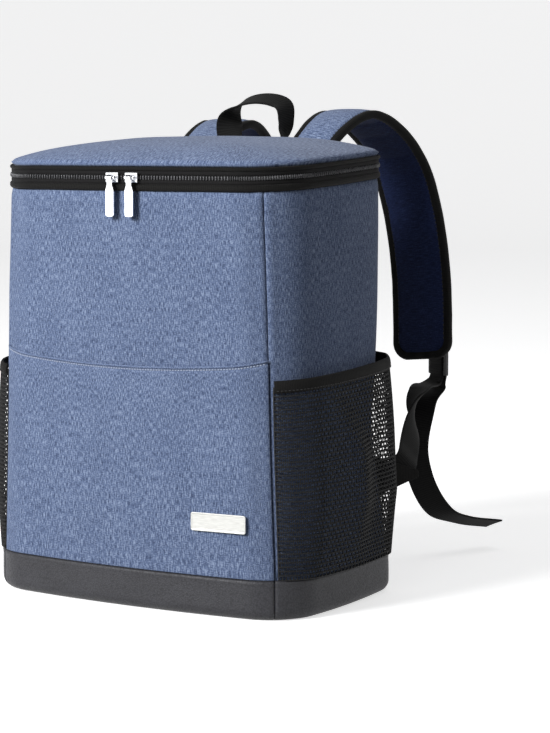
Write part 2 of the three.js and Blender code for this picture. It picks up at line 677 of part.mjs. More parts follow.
function strapHalfWidth(curve, s) {
  return lerp(STRAP_ROOT_WIDTH, STRAP_WIDTH, smoothstep(s / curve.getLength(), 0.05, 0.42)) / 2;
}

// The padded part inside the binding, thickest along its middle.
function strapPadGeometry(curve, side) {
  const edge = STRAP_BINDING + GAP;
  const radius = STRAP_END_RADIUS - edge;
  const end = curve.getLength() - STRAP_END_RADIUS;
  const steps = 24;
  const turns = 3;
  const columns = 4;
  const place = (i, j, k) => {
    const a = (Math.max(0, i - steps) / turns) * (Math.PI / 2);
    const s = (Math.min(i, steps) / steps) * end + radius * Math.sin(a);
    const half = strapHalfWidth(curve, s) - STRAP_END_RADIUS + radius * Math.cos(a);
    const share = (2 * j) / columns - 1;
    const thickness = lerp(STRAP_THICKNESS, STRAP_EDGE, share * share);
    return strapPoint(curve, s, share * half, (k - 0.5) * thickness);
  };
  return sheetSolid(steps + turns, columns, sided(side, steps + turns, place));
}

// The binding runs down one edge, round the end and up the other edge.
function strapBindingGeometry(curve, side) {
  const end = curve.getLength() - STRAP_END_RADIUS;
  const steps = 24;
  const turns = 4;
  const marks = [];
  for (let i = 0; i <= steps; i++) marks.push({ s: (i / steps) * end, way: 1, a: 0 });
  for (let i = 1; i <= turns; i++) marks.push({ s: end, way: 1, a: ((i / turns) * Math.PI) / 2 });
  const back = marks.map((m) => ({ ...m, way: -1 })).reverse();
  const all = [...marks, ...back];
  const place = (i, j, k) => {
    const { s, way, a } = all[i];
    const radius = STRAP_END_RADIUS - (1 - j) * STRAP_BINDING;
    const w = strapHalfWidth(curve, s) - STRAP_END_RADIUS + radius * Math.cos(a);
    return strapPoint(curve, s + radius * Math.sin(a), way * w, (k - 0.5) * STRAP_EDGE);
  };
  return sheetSolid(all.length - 1, 1, sided(side, all.length - 1, place));
}

// Strap ends

function buckleGeometry() {
  const shape = roundedRectangle(BUCKLE.width, BUCKLE.height, 3);
  const slot = (BUCKLE.height - 4 * BUCKLE.rim) / 3;
  for (const row of [-1, 0, 1]) {
    const [x, y] = [BUCKLE.width / 2 - BUCKLE.rim, row * (slot + BUCKLE.rim)];
    const corners = [[-x, y - slot / 2], [-x, y + slot / 2], [x, y + slot / 2], [x, y - slot / 2]];
    shape.holes.push(new THREE.Path(corners.map((corner) => new THREE.Vector2(...corner))));
  }
  return extruded(shape, BUCKLE.thickness, 3).rotateX(Math.PI / 2);
}

const strapEnd = STRAP_PATH.at(-1);
const buckleMiddle = new THREE.Vector3(
  STRAP_ROOT + strapEnd.splay * STRAP_SPLAY + BUCKLE_HANG.aside,
  strapY + strapEnd.reach * STRAP_REACH + BUCKLE_HANG.behind,
  STRAP_ROOT_HEIGHT + strapEnd.lift * STRAP_DROP - BUCKLE_HANG.below,
);
const buckleAcross = new THREE.Vector3(Math.cos(degToRad(BUCKLE.turn)), Math.sin(degToRad(BUCKLE.turn)), 0);
const buckleOutwards = new THREE.Vector3(-buckleAcross.y, buckleAcross.x, 0);
const sideways = new THREE.Vector3(1, 0, 0);

// A point below or above the buckle, near its bagward or its outer face.
function nearBuckle(drop, outwards) {
  const p = buckleMiddle.clone().addScaledVector(buckleOutwards, outwards);
  return p.setZ(buckleMiddle.z - Math.sign(drop) * (BUCKLE.height / 2 + GAP) - drop);
}

function buckleLoopGeometry(curve, side) {
  const h = -(STRAP_THICKNESS / 2 + 2 * GAP + WEBBING_CLOTH / 2);
  const onStrap = [1, 0.88, 0.76, 0.64, 0.56].map((share) => {
    return strapPoint(curve, curve.getLength() - BUCKLE_LOOP * share, 0, h);
  });
  const points = [...onStrap, nearBuckle(-5, 0), nearBuckle(-0.01, 0)];
  const across = (t) => sideways.clone().lerp(buckleAcross, smoothstep(t, 0.68, 1));
  return ribbon({ points, across, width: WEBBING_WIDTH, cloth: WEBBING_CLOTH, steps: 14, side });
}

const layer = (WEBBING_CLOTH + GAP) / 2;

// The gusset is a cloth triangle that points back and outwards from the rear seam.
const gussetWay = new THREE.Vector3(Math.cos(degToRad(GUSSET.turn)), Math.sin(degToRad(GUSSET.turn)), 0);
const gussetFace = new THREE.Vector3(-gussetWay.y, gussetWay.x, 0);
const gussetFoot = bodyPoint(REAR_SEAM, GUSSET.low, GUSSET.stand);

// A place on the gusset: a along it from the seam, z its height, h off its middle plane.
function gussetPoint(a, z, h) {
  return gussetFoot.clone().setZ(z).addScaledVector(gussetWay, a).addScaledVector(gussetFace, h);
}

function gussetGeometry(side) {
  const tip = (GUSSET.low + GUSSET.high) / 2;
  const place = (i, j, k) => {
    const high = i ? tip + GUSSET.blunt / 2 : GUSSET.high;
    const low = i ? tip - GUSSET.blunt / 2 : GUSSET.low;
    return gussetPoint(i * GUSSET.reach, j ? high : low, (0.5 - k) * GUSSET.cloth);
  };
  return sheetSolid(1, 1, sided(side, 1, place));
}

function lowerWebbingGeometry(side) {
  const start = nearBuckle(GAP, -layer);
  const h = GUSSET.cloth / 2 + 2 * GAP + WEBBING_CLOTH / 2;
  const gussetHeight = GUSSET.high - GUSSET.low;
  const onGusset = (share, out) => {
    return gussetPoint(GUSSET.reach * share.reach, GUSSET.low + gussetHeight * share.height, out);
  };
  const sewnOn = onGusset(WEBBING_SEWN, h);
  const bow = WEBBING_PATH.map((row) => {
    const shift = new THREE.Vector3(-row.side * WEBBING_SIDE, 0, row.lift * WEBBING_LIFT);
    return start.clone().lerp(sewnOn, row.share).add(shift);
  });
  const lead = onGusset(WEBBING_LEAD, h + 3 * GAP);
  const leaving = WEBBING_EXIT.map((row) => nearBuckle(row.drop, -layer - row.off));
  const points = [start, ...leaving, ...bow, lead, sewnOn];
  const sewn = new THREE.Vector3().crossVectors(gussetFace, sewnOn.clone().sub(lead).normalize());
  const across = (t) => buckleAcross.clone().lerp(sewn, smoothstep(t, 0.28, 0.78));
  return ribbon({ points, across, width: WEBBING_WIDTH, cloth: WEBBING_CLOTH, steps: 24, side });
}

function tailGeometry(side) {
  const leaving = TAIL_EXIT.map((row) => nearBuckle(row.drop, layer - row.off));
  const points = [nearBuckle(0.01, layer), ...leaving];
  for (const row of TAIL_PATH) {
    const shift = new THREE.Vector3(row.spread * TAIL_SPREAD, row.reach * TAIL_REACH, -row.drop * TAIL_DROP);
    points.push(nearBuckle(0.01, layer).add(shift));
  }
  const facing = new THREE.Vector3(0.85, 0.52, 0);
  const lying = new THREE.Vector3(0.85, -0.52, 0.1);
  const across = (t) => {
    const hanging = buckleAcross.clone().lerp(facing, smoothstep(t, 0.05, 0.3));
    return hanging.lerp(lying, smoothstep(t, 0.62, 0.9));
  };
  return ribbon({ points, across, width: WEBBING_WIDTH, cloth: WEBBING_CLOTH, steps: 26, side });
}

for (const [word, side] of [["right", 1], ["left", -1]]) {
  const curve = side > 0 ? strapCurve(STRAP_ARCH, 0) : strapCurve(STRAP_ARCH * LEFT_ARCH_SHARE, LEFT_LEAN);
  add(`strap_pad_${word}`, strapPadGeometry(curve, side), blueCloth());
  add(`strap_binding_${word}`, strapBindingGeometry(curve, side), blackTape());
  const buckle = add(`buckle_${word}`, buckleGeometry(), blackPlastic());
  buckle.position.set(side * buckleMiddle.x, buckleMiddle.y, buckleMiddle.z);
  buckle.rotation.z = side * degToRad(BUCKLE.turn);
  add(`buckle_loop_${word}`, buckleLoopGeometry(curve, side), blackTape());
  add(`gusset_${word}`, gussetGeometry(side), blackTape());
  add(`strap_webbing_${word}`, lowerWebbingGeometry(side), blackTape());
  add(`webbing_tail_${word}`, tailGeometry(side), blackTape());
}

export default bag;
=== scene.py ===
# %% [markdown]
# # A cooler backpack in cloth, net, webbing and metal
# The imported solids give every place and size. They are coarse and flat-faced, as solids for
# collision should be, so this lesson makes the cloth, net, webbing and metal that the eye sees
# round them, in metres, in the same frame: +Z up, the front with the pocket towards -Y.

import math
from functools import lru_cache

import bmesh
import bpy
from mathutils import Matrix, Vector, noise


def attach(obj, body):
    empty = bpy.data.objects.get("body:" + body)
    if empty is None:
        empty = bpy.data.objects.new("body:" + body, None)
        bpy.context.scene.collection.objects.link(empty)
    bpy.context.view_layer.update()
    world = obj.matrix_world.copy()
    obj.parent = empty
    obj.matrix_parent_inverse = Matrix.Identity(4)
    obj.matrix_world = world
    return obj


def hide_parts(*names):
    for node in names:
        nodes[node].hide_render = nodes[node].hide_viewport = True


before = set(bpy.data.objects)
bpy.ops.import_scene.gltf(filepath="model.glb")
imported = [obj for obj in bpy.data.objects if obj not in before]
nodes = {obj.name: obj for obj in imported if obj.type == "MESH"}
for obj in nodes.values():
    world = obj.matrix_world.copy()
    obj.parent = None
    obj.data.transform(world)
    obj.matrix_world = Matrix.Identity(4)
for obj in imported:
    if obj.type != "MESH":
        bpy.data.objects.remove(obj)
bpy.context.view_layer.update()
MM = 0.001

# %% [markdown]
# ## The camera
# The photograph was taken from a little above the bag and well to its right, with a long lens,
# so upright edges stay nearly parallel. The place and the lens were worked out from the corners
# of the bag. The picture is 550 by 733, and the sensor's width belongs to its long side.

# %% The camera
CAMERA_PLACE = Vector((1.1419, -1.7192, 0.4151))
CAMERA_TARGET = Vector((0.0674, 0.0412, 0.2056))
LENS = 111.1

camera = bpy.data.objects.new("camera", bpy.data.cameras.new("camera"))
bpy.context.scene.collection.objects.link(camera)
camera.location = CAMERA_PLACE
camera.rotation_mode = "QUATERNION"
camera.rotation_quaternion = (CAMERA_TARGET - CAMERA_PLACE).to_track_quat("-Z", "Y")
camera.data.lens = LENS
camera.data.sensor_width = 36
camera.data.clip_start = 0.05
camera.data.clip_end = 50
bpy.context.scene.camera = camera

# %% [markdown]
# ## Colours and nodes
# Colours are picked as sRGB hex, the way a dyer's card or a screen gives them, and Blender's
# shaders work in linear light, so one function turns them. One more adds a node with its
# settings and links, so that each material below reads from top to bottom like a recipe.


# %% Colours and nodes
def linear(code):
    """The linear colour of an sRGB hex value."""
    parts = [int(code[i : i + 2], 16) / 255 for i in (1, 3, 5)]
    turned = [c / 12.92 if c <= 0.04045 else ((c + 0.055) / 1.055) ** 2.4 for c in parts]
    return (*turned, 1.0)


def node(tree, kind, links=None, **settings):
    """Adds a node; links gives its inputs, each a value or another node's output."""
    made = tree.nodes.new("ShaderNode" + kind)
    for name, value in settings.items():
        setattr(made, name, value)
    for key, value in (links or {}).items():
        if isinstance(value, bpy.types.NodeSocket):
            tree.links.new(value, made.inputs[key])
        else:
            made.inputs[key].default_value = value
    return made


def ramp(tree, factor, *stops):
    """A colour ramp of (position, hex colour) stops."""
    made = node(tree, "ValToRGB", {"Fac": factor})
    elements = made.color_ramp.elements
    for i, (position, code) in enumerate(stops):
        element = elements[i] if i < 2 else elements.new(position)
        element.position = position
        element.color = linear(code)
    return made.outputs["Color"]


def new_material(name, roughness, metallic=0.0, shine=0.5):
    """A material with its shader's plain values set, and the tree to build on."""
    made = bpy.data.materials.new(name)
    made.use_nodes = True
    shader = made.node_tree.nodes["Principled BSDF"]
    shader.inputs["Roughness"].default_value = roughness
    shader.inputs["Metallic"].default_value = metallic
    shader.inputs["Specular IOR Level"].default_value = shine
    return made, made.node_tree, shader


def bump(tree, shader, height, distance_mm):
    """Relief from a height of 0 to 1 that is distance_mm deep."""
    made = node(tree, "Bump", {"Height": height, "Strength": 1.0, "Distance": distance_mm * MM})
    tree.links.new(made.outputs["Normal"], shader.inputs["Normal"])


def mixed(tree, factor, a, b):
    """Two colours or greys mixed."""
    return node(tree, "MixRGB", {"Fac": factor, "Color1": a, "Color2": b}).outputs["Color"]


# %% [markdown]
# ## Melange polyester
# The walls are a two-tone polyester: light and dark blue filaments are twisted into one thick
# and thin yarn, so short streaks run up the cloth and fewer run across it. A melange is only
# streaks of noise, stretched along the threads: here one set stretched upwards, one across.
# The streaks follow the cloth, so they read the piece's own map, which is laid out in metres.
# Real threads are 0.4 mm apart, too fine for the picture, so a streak is two threads wide.


# %% Melange polyester
def melange(name, dark, middle, light, contrast=1.0):
    """Two-tone woven polyester. The streaks are 0.7 mm wide and 5 mm long."""
    made, tree, shader = new_material(name, roughness=0.86, shine=0.15)
    cloth = node(tree, "UVMap", uv_map="cloth").outputs["UV"]

    def streaks(across, along, detail=3.0):
        scale = (1 / across, 1 / along, 1)
        placed = node(tree, "Mapping", {"Vector": cloth, "Scale": scale}).outputs["Vector"]
        return node(tree, "TexNoise", {"Vector": placed, "Scale": 1000.0, "Detail": detail}).outputs["Fac"]

    warp = streaks(0.7, 5)
    weft = streaks(2.2, 0.7)
    patch = streaks(26, 60, detail=2.0)
    yarn = mixed(tree, 0.38, warp, weft)
    cloudy = mixed(tree, 0.06, yarn, patch)
    spread = 0.09 / contrast
    colour = ramp(tree, cloudy, (0.5 - spread * 1.15, dark), (0.5, middle), (0.5 + spread * 1.1, light))
    tree.links.new(colour, shader.inputs["Base Color"])
    shader.inputs["Sheen Weight"].default_value = 0.12
    shader.inputs["Sheen Roughness"].default_value = 0.5
    bump(tree, shader, yarn, distance_mm=0.35)
    return made


BLUE = melange("melange_polyester_blue", "#3e4a66", "#5f6f90", "#8c9bb8")
NAVY = melange("brushed_polyester_navy", "#111a3a", "#1d2a52", "#2f3e6c", contrast=0.8)

# %% [markdown]
# ## Woven tapes and webbing
# Binding tape, zip tape and webbing are black polyester woven narrow, with ribs across the
# tape. Black thread is never quite black: it scatters a soft grey along its ribs. A band
# pattern along the piece's map makes the ribs, and a little noise breaks them up.


# %% Woven tapes and webbing
def woven_tape(name, dark, light, rib_mm, deep_mm):
    """Ribbed black tape. The map's first axis runs along the tape."""
    made, tree, shader = new_material(name, roughness=0.78, shine=0.12)
    cloth = node(tree, "UVMap", uv_map="cloth").outputs["UV"]
    # A wave texture of scale 1 has a band each pi / 10 of a unit.
    bands = math.pi / 10 / (rib_mm * MM)
    inputs = {"Vector": cloth, "Scale": bands, "Distortion": 0.6, "Detail": 1.0}
    ribs = node(tree, "TexWave", inputs, bands_direction="X").outputs["Fac"]
    fluff = node(tree, "TexNoise", {"Vector": cloth, "Scale": 900.0, "Detail": 2.0}).outputs["Fac"]
    both = mixed(tree, 0.45, ribs, fluff)
    tree.links.new(ramp(tree, both, (0.2, dark), (0.85, light)), shader.inputs["Base Color"])
    shader.inputs["Sheen Weight"].default_value = 0.03
    bump(tree, shader, both, deep_mm)
    return made


TAPE = woven_tape("grosgrain_tape_black", "#080808", "#1d1c1b", rib_mm=1.6, deep_mm=0.2)
WEBBING = woven_tape("polypropylene_webbing_black", "#090909", "#191919", rib_mm=2.4, deep_mm=0.2)
ZIP_TAPE = woven_tape("zip_tape_black", "#0a0a0a", "#1e1d1e", rib_mm=1.2, deep_mm=0.12)


# %% [markdown]
# ## Coated leathercloth, knitted yarn, plastic and metal
# The base is leathercloth: a knit coated with polyurethane and pressed with a fine pebble
# grain, so light breaks on it softly. A pattern of cells is the usual start for pebbles. The
# sliders are die-cast zinc, polished and nickel-plated. The plate is satin steel: fine scratch
# lines along its length. Buckles and zip coils are moulded acetal and nylon.


# %% Leathercloth
def leathercloth():
    """Pebble-grained coated cloth. The pebbles are 1.5 mm across."""
    made, tree, shader = new_material("leathercloth_charcoal", roughness=0.5, shine=0.3)
    place = node(tree, "TexCoord").outputs["Object"]
    pebbles = node(tree, "TexVoronoi", {"Vector": place, "Scale": 1 / (1.5 * MM)}).outputs["Distance"]
    tone = node(tree, "TexNoise", {"Vector": place, "Scale": 35.0, "Detail": 4.0}).outputs["Fac"]
    grain = mixed(tree, 0.3, pebbles, tone)
    tree.links.new(ramp(tree, grain, (0.1, "#424247"), (0.75, "#2a2a2d")), shader.inputs["Base Color"])
    rough = node(tree, "MapRange", {"Value": grain, "To Min": 0.4, "To Max": 0.62}).outputs["Result"]
    tree.links.new(rough, shader.inputs["Roughness"])
    bump(tree, shader, pebbles, distance_mm=0.22)
    return made


LEATHER = leathercloth()


# %% Yarn, plastic and metal
def plain(
    name, dark, light, grain_mm, roughness, metallic=0.0, deep_mm=0.05, stretch=(1, 1, 1), shine=0.5
):
    """A finish with a little tone and relief of its own."""
    made, tree, shader = new_material(name, roughness, metallic, shine)
    place = node(tree, "TexCoord").outputs["Object"]
    placed = node(tree, "Mapping", {"Vector": place, "Scale": stretch}).outputs["Vector"]
    grain = 1 / (grain_mm * MM)
    tone = node(tree, "TexNoise", {"Vector": placed, "Scale": grain, "Detail": 3.0}).outputs["Fac"]
    tree.links.new(ramp(tree, tone, (0.3, dark), (0.7, light)), shader.inputs["Base Color"])
    rough = node(tree, "MapRange", {"Value": tone, "To Min": roughness * 0.8, "To Max": roughness * 1.2})
    tree.links.new(rough.outputs["Result"], shader.inputs["Roughness"])
    if deep_mm:
        bump(tree, shader, tone, deep_mm)
    return made


YARN = plain("knitted_yarn_black", "#090909", "#1b1b1c", grain_mm=0.6, roughness=0.6, deep_mm=0.2, shine=0.3)
# The coil is black nylon. Its lighter grey tones are partly painted highlight, standing in for the glints on
# its loops.
COIL_WITH_PAINTED_GLINT = plain("nylon_coil_black_painted_glint", "#323234", "#5b5b5f", grain_mm=1.5, roughness=0.28)
ACETAL = plain("moulded_acetal_black", "#121213", "#1f1f21", grain_mm=3, roughness=0.45)
NICKEL = plain(
    "nickel_plated_zinc", "#dcdee2", "#eeeff2", grain_mm=6, roughness=0.14, metallic=1.0, deep_mm=0
)
STEEL = plain(
    "satin_steel", "#bdbdb9", "#d2d2ce", grain_mm=0.5, roughness=0.4, metallic=0.6, deep_mm=0.02,
    stretch=(0.08, 0.08, 1),
)
THREAD = plain("sewing_thread_pale_blue", "#99a5bf", "#b9c3d6", grain_mm=0.5, roughness=0.7)
DARK_THREAD = plain("sewing_thread_black", "#161617", "#2e2e30", grain_mm=0.5, roughness=0.6)

# %% [markdown]
# ## The bag's outline
# Every wall, band, tape and net follows one outline, so it is written once, as the solids have
# it: a station counts round the bag from the middle of the front (0), over the front corner
# (1 to 2), the side (2 to 3) and the rear corner (3 to 4) to the middle of the back (5), and
# with a minus sign on the left. The solids join their sections by straight stretches. Here the
# values are averaged over a short height, so that the cloth has no kinks, and the rear corner
# is a little fuller behind the net than in the solids.

# %% The bag's outline
BASE_WIDTH, FRONT_REACH, BACK_REACH = 320, 90, 104
FRONT_BOW, SIDE_BOW, FRONT_RADIUS, REAR_RADIUS = 12, 8, 38, 30
WALL_TOP, TOP_RISE, EDGE_RADIUS = 368, 11, 10
FRONT_SEAM, REAR_SEAM, SEAM_WIDTH = 1.38, 3.62, 0.5
SECTION_HEIGHTS = (0, 0.1, 0.26, 0.42, 0.57, 0.76, 1)
WIDTH_SHARES = (1, 1, 0.985, 0.972, 0.966, 0.957, 0.945)
BACK_SHARES = (1, 1, 0.98, 0.975, 0.975, 0.985, 1)
FRONT_SHARES = (1, 1, 1, 1, 1.02, 1.08, 1.2)
REAR_SHARES = (1, 1, 1.5, 2.1, 1.5, 1.2, 1.1)


def clamp(value, low=0.0, high=1.0):
    return max(low, min(high, value))


def lerp(a, b, share):
    return a + (b - a) * share


def smoothstep(value, low, high):
    share = clamp((value - low) / (high - low))
    return share * share * (3 - 2 * share)


def bell(value, centre, width):
    """1 at the centre, falling to 0 on both sides."""
    return math.exp(-(((value - centre) / width) ** 2))


def straight(shares, height):
    """A section table's value at a height, by straight stretches."""
    for i in range(1, len(SECTION_HEIGHTS)):
        if height <= SECTION_HEIGHTS[i] or i == len(SECTION_HEIGHTS) - 1:
            low, high = SECTION_HEIGHTS[i - 1], SECTION_HEIGHTS[i]
            return lerp(shares[i - 1], shares[i], clamp((height - low) / (high - low)))


@lru_cache(maxsize=None)
def section(shares, z):
    """The table's value at z, averaged over 40 mm."""
    heights = [clamp((z + step) / WALL_TOP) for step in (-20, -10, 0, 10, 20)]
    return sum(straight(shares, h) for h in heights) / len(heights)


@lru_cache(maxsize=None)
def outline(station, z, taut=False):
    """(x, y) in mm of a station at a height."""
    s = min(abs(station), 5)
    half = BASE_WIDTH * section(WIDTH_SHARES, z) / 2
    back = BACK_REACH * (1 if taut else section(BACK_SHARES, z))
    front_r = FRONT_RADIUS * section(FRONT_SHARES, z)
    rear_r = REAR_RADIUS * (1 if taut else section(REAR_SHARES, z))
    if s <= 1:
        x, y = s * (half - front_r), -FRONT_REACH
    elif s <= 2:
        a = (s - 1) * math.pi / 2
        x, y = half - front_r + front_r * math.sin(a), -FRONT_REACH + front_r - front_r * math.cos(a)
    elif s <= 3:
        x, y = half, lerp(-FRONT_REACH + front_r, back - rear_r, s - 2)
    elif s <= 4:
        a = (s - 3) * math.pi / 2
        x, y = half - rear_r + rear_r * math.cos(a), back - rear_r + rear_r * math.sin(a)
    else:
        x, y = (5 - s) * (half - rear_r), back
    across = x / half
    along = y / FRONT_REACH if y < 0 else y / back
    x += SIDE_BOW * across * (1 - along * along)
    if y < 0:
        y -= FRONT_BOW * (1 - across * across)
    return (-x if station < 0 else x), y


def body_point(station, z, out, taut=False):
    """The place in mm at a station and height, moved outwards from the outline."""
    step = 0.03
    ahead = Vector(outline(min(station + step, 5), z, taut))
    behind = Vector(outline(max(station - step, -5), z, taut))
    tangent = (ahead - behind).normalized()
    x, y = outline(station, z, taut)
    below = clamp(1 - z / EDGE_RADIUS)
    reach = out - EDGE_RADIUS * (1 - math.sqrt(1 - below * below))
    depth = clamp((y + FRONT_REACH) / (FRONT_REACH + BACK_REACH))
    rise = TOP_RISE * depth * smoothstep(z / WALL_TOP, 0.5, 1)
    return Vector((x + tangent.y * reach, y - tangent.x * reach, z + rise))


def seam_share(seam):
    """The width of a seam in stations, at half height."""
    step = 0.01
    a, b = Vector(outline(seam, WALL_TOP / 2)), Vector(outline(seam + step, WALL_TOP / 2))
    return SEAM_WIDTH * step / (b - a).length


FRONT_EDGE, SIDE_FRONT_EDGE = FRONT_SEAM, FRONT_SEAM + seam_share(FRONT_SEAM)
SIDE_REAR_EDGE, BACK_EDGE = REAR_SEAM - seam_share(REAR_SEAM), REAR_SEAM


def run_length(start, end, z):
    """The length in mm of the outline between two stations."""
    points = [Vector(outline(lerp(start, end, i / 60), z)) for i in range(61)]
    return sum((b - a).length for a, b in zip(points, points[1:]))


RUN_HEIGHT = 200
front_run = run_length(-FRONT_EDGE, FRONT_EDGE, RUN_HEIGHT)
side_run = run_length(FRONT_EDGE, REAR_SEAM, RUN_HEIGHT)
print("front", round(front_run), "mm, side", round(side_run), "mm")

# %% [markdown]
# ## Making cloth
# Every sheet starts as a grid, because cloth is one: its two directions are the threads. A
# function places each point of the grid, and the grid's own coordinates, in metres, become the
# map that the weave reads. Solidify gives the thickness and Bevel rounds the cut edges.


# %% Making cloth
def finished(name, mesh, material, body="bag", stands_for=()):
    """Makes an object of a bmesh, shades it smooth and says what it rides on and replaces."""
    data = bpy.data.meshes.new(name)
    for face in mesh.faces:
        face.smooth = True
    mesh.to_mesh(data)
    mesh.free()
    made = bpy.data.objects.new(name, data)
    bpy.context.scene.collection.objects.link(made)
    for each in material if isinstance(material, (list, tuple)) else (material,):
        data.materials.append(each)
    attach(made, body)
    if stands_for:
        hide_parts(*stands_for)
    return made


def modifier(piece, kind, **settings):
    made = piece.modifiers.new(kind.lower(), kind)
    for name, value in settings.items():
        setattr(made, name, value)
    return made


def bevel(piece, round_mm, least_degrees):
    """Rounds the edges that turn by more than an angle."""
    limit = math.radians(least_degrees)
    modifier(piece, "BEVEL", width=round_mm * MM, segments=2, limit_method="ANGLE", angle_limit=limit)


def thicken(piece, thickness_mm, offset=-1.0, round_mm=0.0, even=True):
    modifier(piece, "SOLIDIFY", thickness=thickness_mm * MM, offset=offset, use_even_offset=even)
    if round_mm:
        bevel(piece, round_mm, 50)
    return piece


def gathered(u):
    """Draws the columns of a grid together towards both of its edges, where the seams are."""
    return lerp(u, 0.5 - 0.5 * math.cos(math.pi * u), 0.85)


def grid(columns, rows, size_mm, place, closed=False, mirrored=False, ease=None):
    """A grid of cloth; place(u, v) gives a point in mm. mirrored makes the left one of a pair."""
    mesh = bmesh.new()
    bmesh.ops.create_grid(mesh, x_segments=columns, y_segments=rows, size=0.5)
    if ease:
        for vert in mesh.verts:
            vert.co.x = ease(clamp(vert.co.x + 0.5)) - 0.5
    cloth = mesh.loops.layers.uv.new("cloth")
    for face in mesh.faces:
        for loop in face.loops:
            u, v = loop.vert.co.x + 0.5, loop.vert.co.y + 0.5
            loop[cloth].uv = (u * size_mm[0] * MM, v * size_mm[1] * MM)
    for vert in mesh.verts:
        u, v = clamp(vert.co.x + 0.5), clamp(vert.co.y + 0.5)
        point = place(1 - u if mirrored else u, v) * MM
        vert.co = Vector((-point.x, point.y, point.z)) if mirrored else point
    if closed:
        bmesh.ops.remove_doubles(mesh, verts=mesh.verts, dist=1e-6)
    return mesh


def ripple(a, b, seed):
    """Soft unevenness from -1 to 1; a and b are distances in mm over the size of a ripple."""
    return noise.noise(Vector((a, b, seed * 7.3)))


def scatter(mesh, matrices):
    """Adds a small ball at each matrix, in batches, which keeps each of Blender's calls quick."""
    for first in range(0, len(matrices), 40):
        batch = bmesh.new()
        for matrix in matrices[first : first + 40]:
            bmesh.ops.create_uvsphere(batch, u_segments=6, v_segments=4, radius=1, matrix=matrix)
        data = bpy.data.meshes.new("batch")
        batch.to_mesh(data)
        batch.free()
        mesh.from_mesh(data)
        bpy.data.meshes.remove(data)


def crisp(piece, round_mm=0.0):
    """Rounds a hard piece's edges and keeps its flat faces flat in their shading."""
    if round_mm:
        bevel(piece, round_mm, 35)
    modifier(piece, "WEIGHTED_NORMAL", keep_sharp=False, weight=90)
    return piece


PAD_FRAMES, PAD_PRESSURE = 20, 4.0


def blown_up(piece, free, most_mm):
    """Blows a padded piece up with Blender's cloth; free(u, v) is 0 where it is sewn down."""
    data = piece.data
    before = [vert.co.copy() for vert in data.vertices]
    held = piece.vertex_groups.new(name="sewn")
    for loop in data.loops:
        u, v = data.uv_layers["cloth"].data[loop.index].uv
        held.add([loop.vertex_index], 1 - free(u, v), "REPLACE")
    cloth = piece.modifiers.new("cloth", "CLOTH")
    cloth.settings.vertex_group_mass = "sewn"
    cloth.settings.use_pressure = True
    cloth.settings.uniform_pressure_force = PAD_PRESSURE
    cloth.settings.quality = 5
    cloth.settings.effector_weights.gravity = 0
    cloth.collision_settings.use_collision = False
    cloth.point_cache.frame_end = PAD_FRAMES
    scene = bpy.context.scene
    for step in range(1, PAD_FRAMES + 1):
        scene.frame_set(step)
    shaped = piece.evaluated_get(bpy.context.evaluated_depsgraph_get()).to_mesh()
    after = [vert.co.copy() for vert in shaped.vertices]
    piece.modifiers.remove(cloth)
    scene.frame_set(1)
    moved = [b - a for a, b in zip(before, after)]
    for vert, start, move in zip(data.vertices, before, moved):
        vert.co = start + move * min(1, most_mm * MM / max(move.length, 1e-9))
    print(piece.name, "swelled by up to", round(max(m.length for m in moved) / MM, 1), "mm")


SIDES = (("right", 1), ("left", -1))

# %% [markdown]
# ## Padded walls
# A cooler's walls are cloth over closed-cell foam. They stand by themselves, swell a little
# between their seams, and turn in sharply where two panels are sewn, so each seam is a groove
# with a soft roll on both sides. The pads could be blown up by a cloth simulation, but foam
# hardly swells, so the roll and a few long soft ripples are put straight into the grid.

# %% Padded walls
POCKET_TOP, POCKET_SAG, BAND_TOP, FLOOR_TOP = 226, 10, 36, 8.3
SEAM_TUCK, SEAM_ROLL = 0.9, 5.0


def hem_height(station):
    return POCKET_TOP - POCKET_SAG * (1 - (station / FRONT_SEAM) ** 2)


def seam_roll(distance_mm):
    """How far the cloth is drawn in at a distance from its seam."""
    return -SEAM_TUCK * math.exp(-distance_mm / 0.9) + 0.6 * bell(distance_mm, SEAM_ROLL, 5)


def wall_swell(station, z, u, length, seed):
    """How far a padded wall stands out of the outline."""
    edge = min(u, 1 - u) * length
    swell = seam_roll(edge) + 0.9 * ripple(u * length / 55, z / 170, seed) * clamp(edge / 30)
    swell += 0.5 * ripple(u * length / 24, z / 60, seed + 3) * clamp(edge / 25)
    swell -= 1.2 * bell(z, WALL_TOP, 4)
    covered = smoothstep(BAND_TOP - z, -10, 4)
    return lerp(swell, -0.6, covered)


def front_swell(station, z, u, length, seed):
    under_pocket = smoothstep(hem_height(station) - z, -3, 10)
    return lerp(wall_swell(station, z, u, length, seed), -1.6, under_pocket)


def wall(start, end, columns, rows, swell, seed):
    """The grid of a padded wall between two seams."""
    length = run_length(start, end, RUN_HEIGHT)

    def place(u, v):
        station, z = lerp(start, end, u), lerp(FLOOR_TOP, WALL_TOP, v)
        return body_point(station, z, swell(station, z, u, length, seed))

    return grid(columns, rows, (length, WALL_TOP - FLOOR_TOP), place, ease=gathered)


# Each wall: its name, the solid it stands for, its two seams, columns, swell and seed.
WALLS = (
    ("front_wall", "front_panel", -FRONT_EDGE, FRONT_EDGE, 110, front_swell, 1),
    ("side_wall_right", "side_panel_right", SIDE_FRONT_EDGE, SIDE_REAR_EDGE, 64, wall_swell, 2),
    ("side_wall_left", "side_panel_left", -SIDE_REAR_EDGE, -SIDE_FRONT_EDGE, 64, wall_swell, 3),
)
for name, solid, start, end, columns, swell, seed in WALLS:
    mesh = wall(start, end, columns, 110, swell, seed)
    piece = finished(name, mesh, BLUE, stands_for=[solid])
    thicken(piece, 5.5)

# %% [markdown]
# ## The back
# The picture doesn't show the back, so it is taken as what such bags have: a padded navy panel
# from the right rear seam round to the left one, with two sewn channels that let air up the
# wearer's spine. It reaches up to the lid, because the lid is sewn to it.

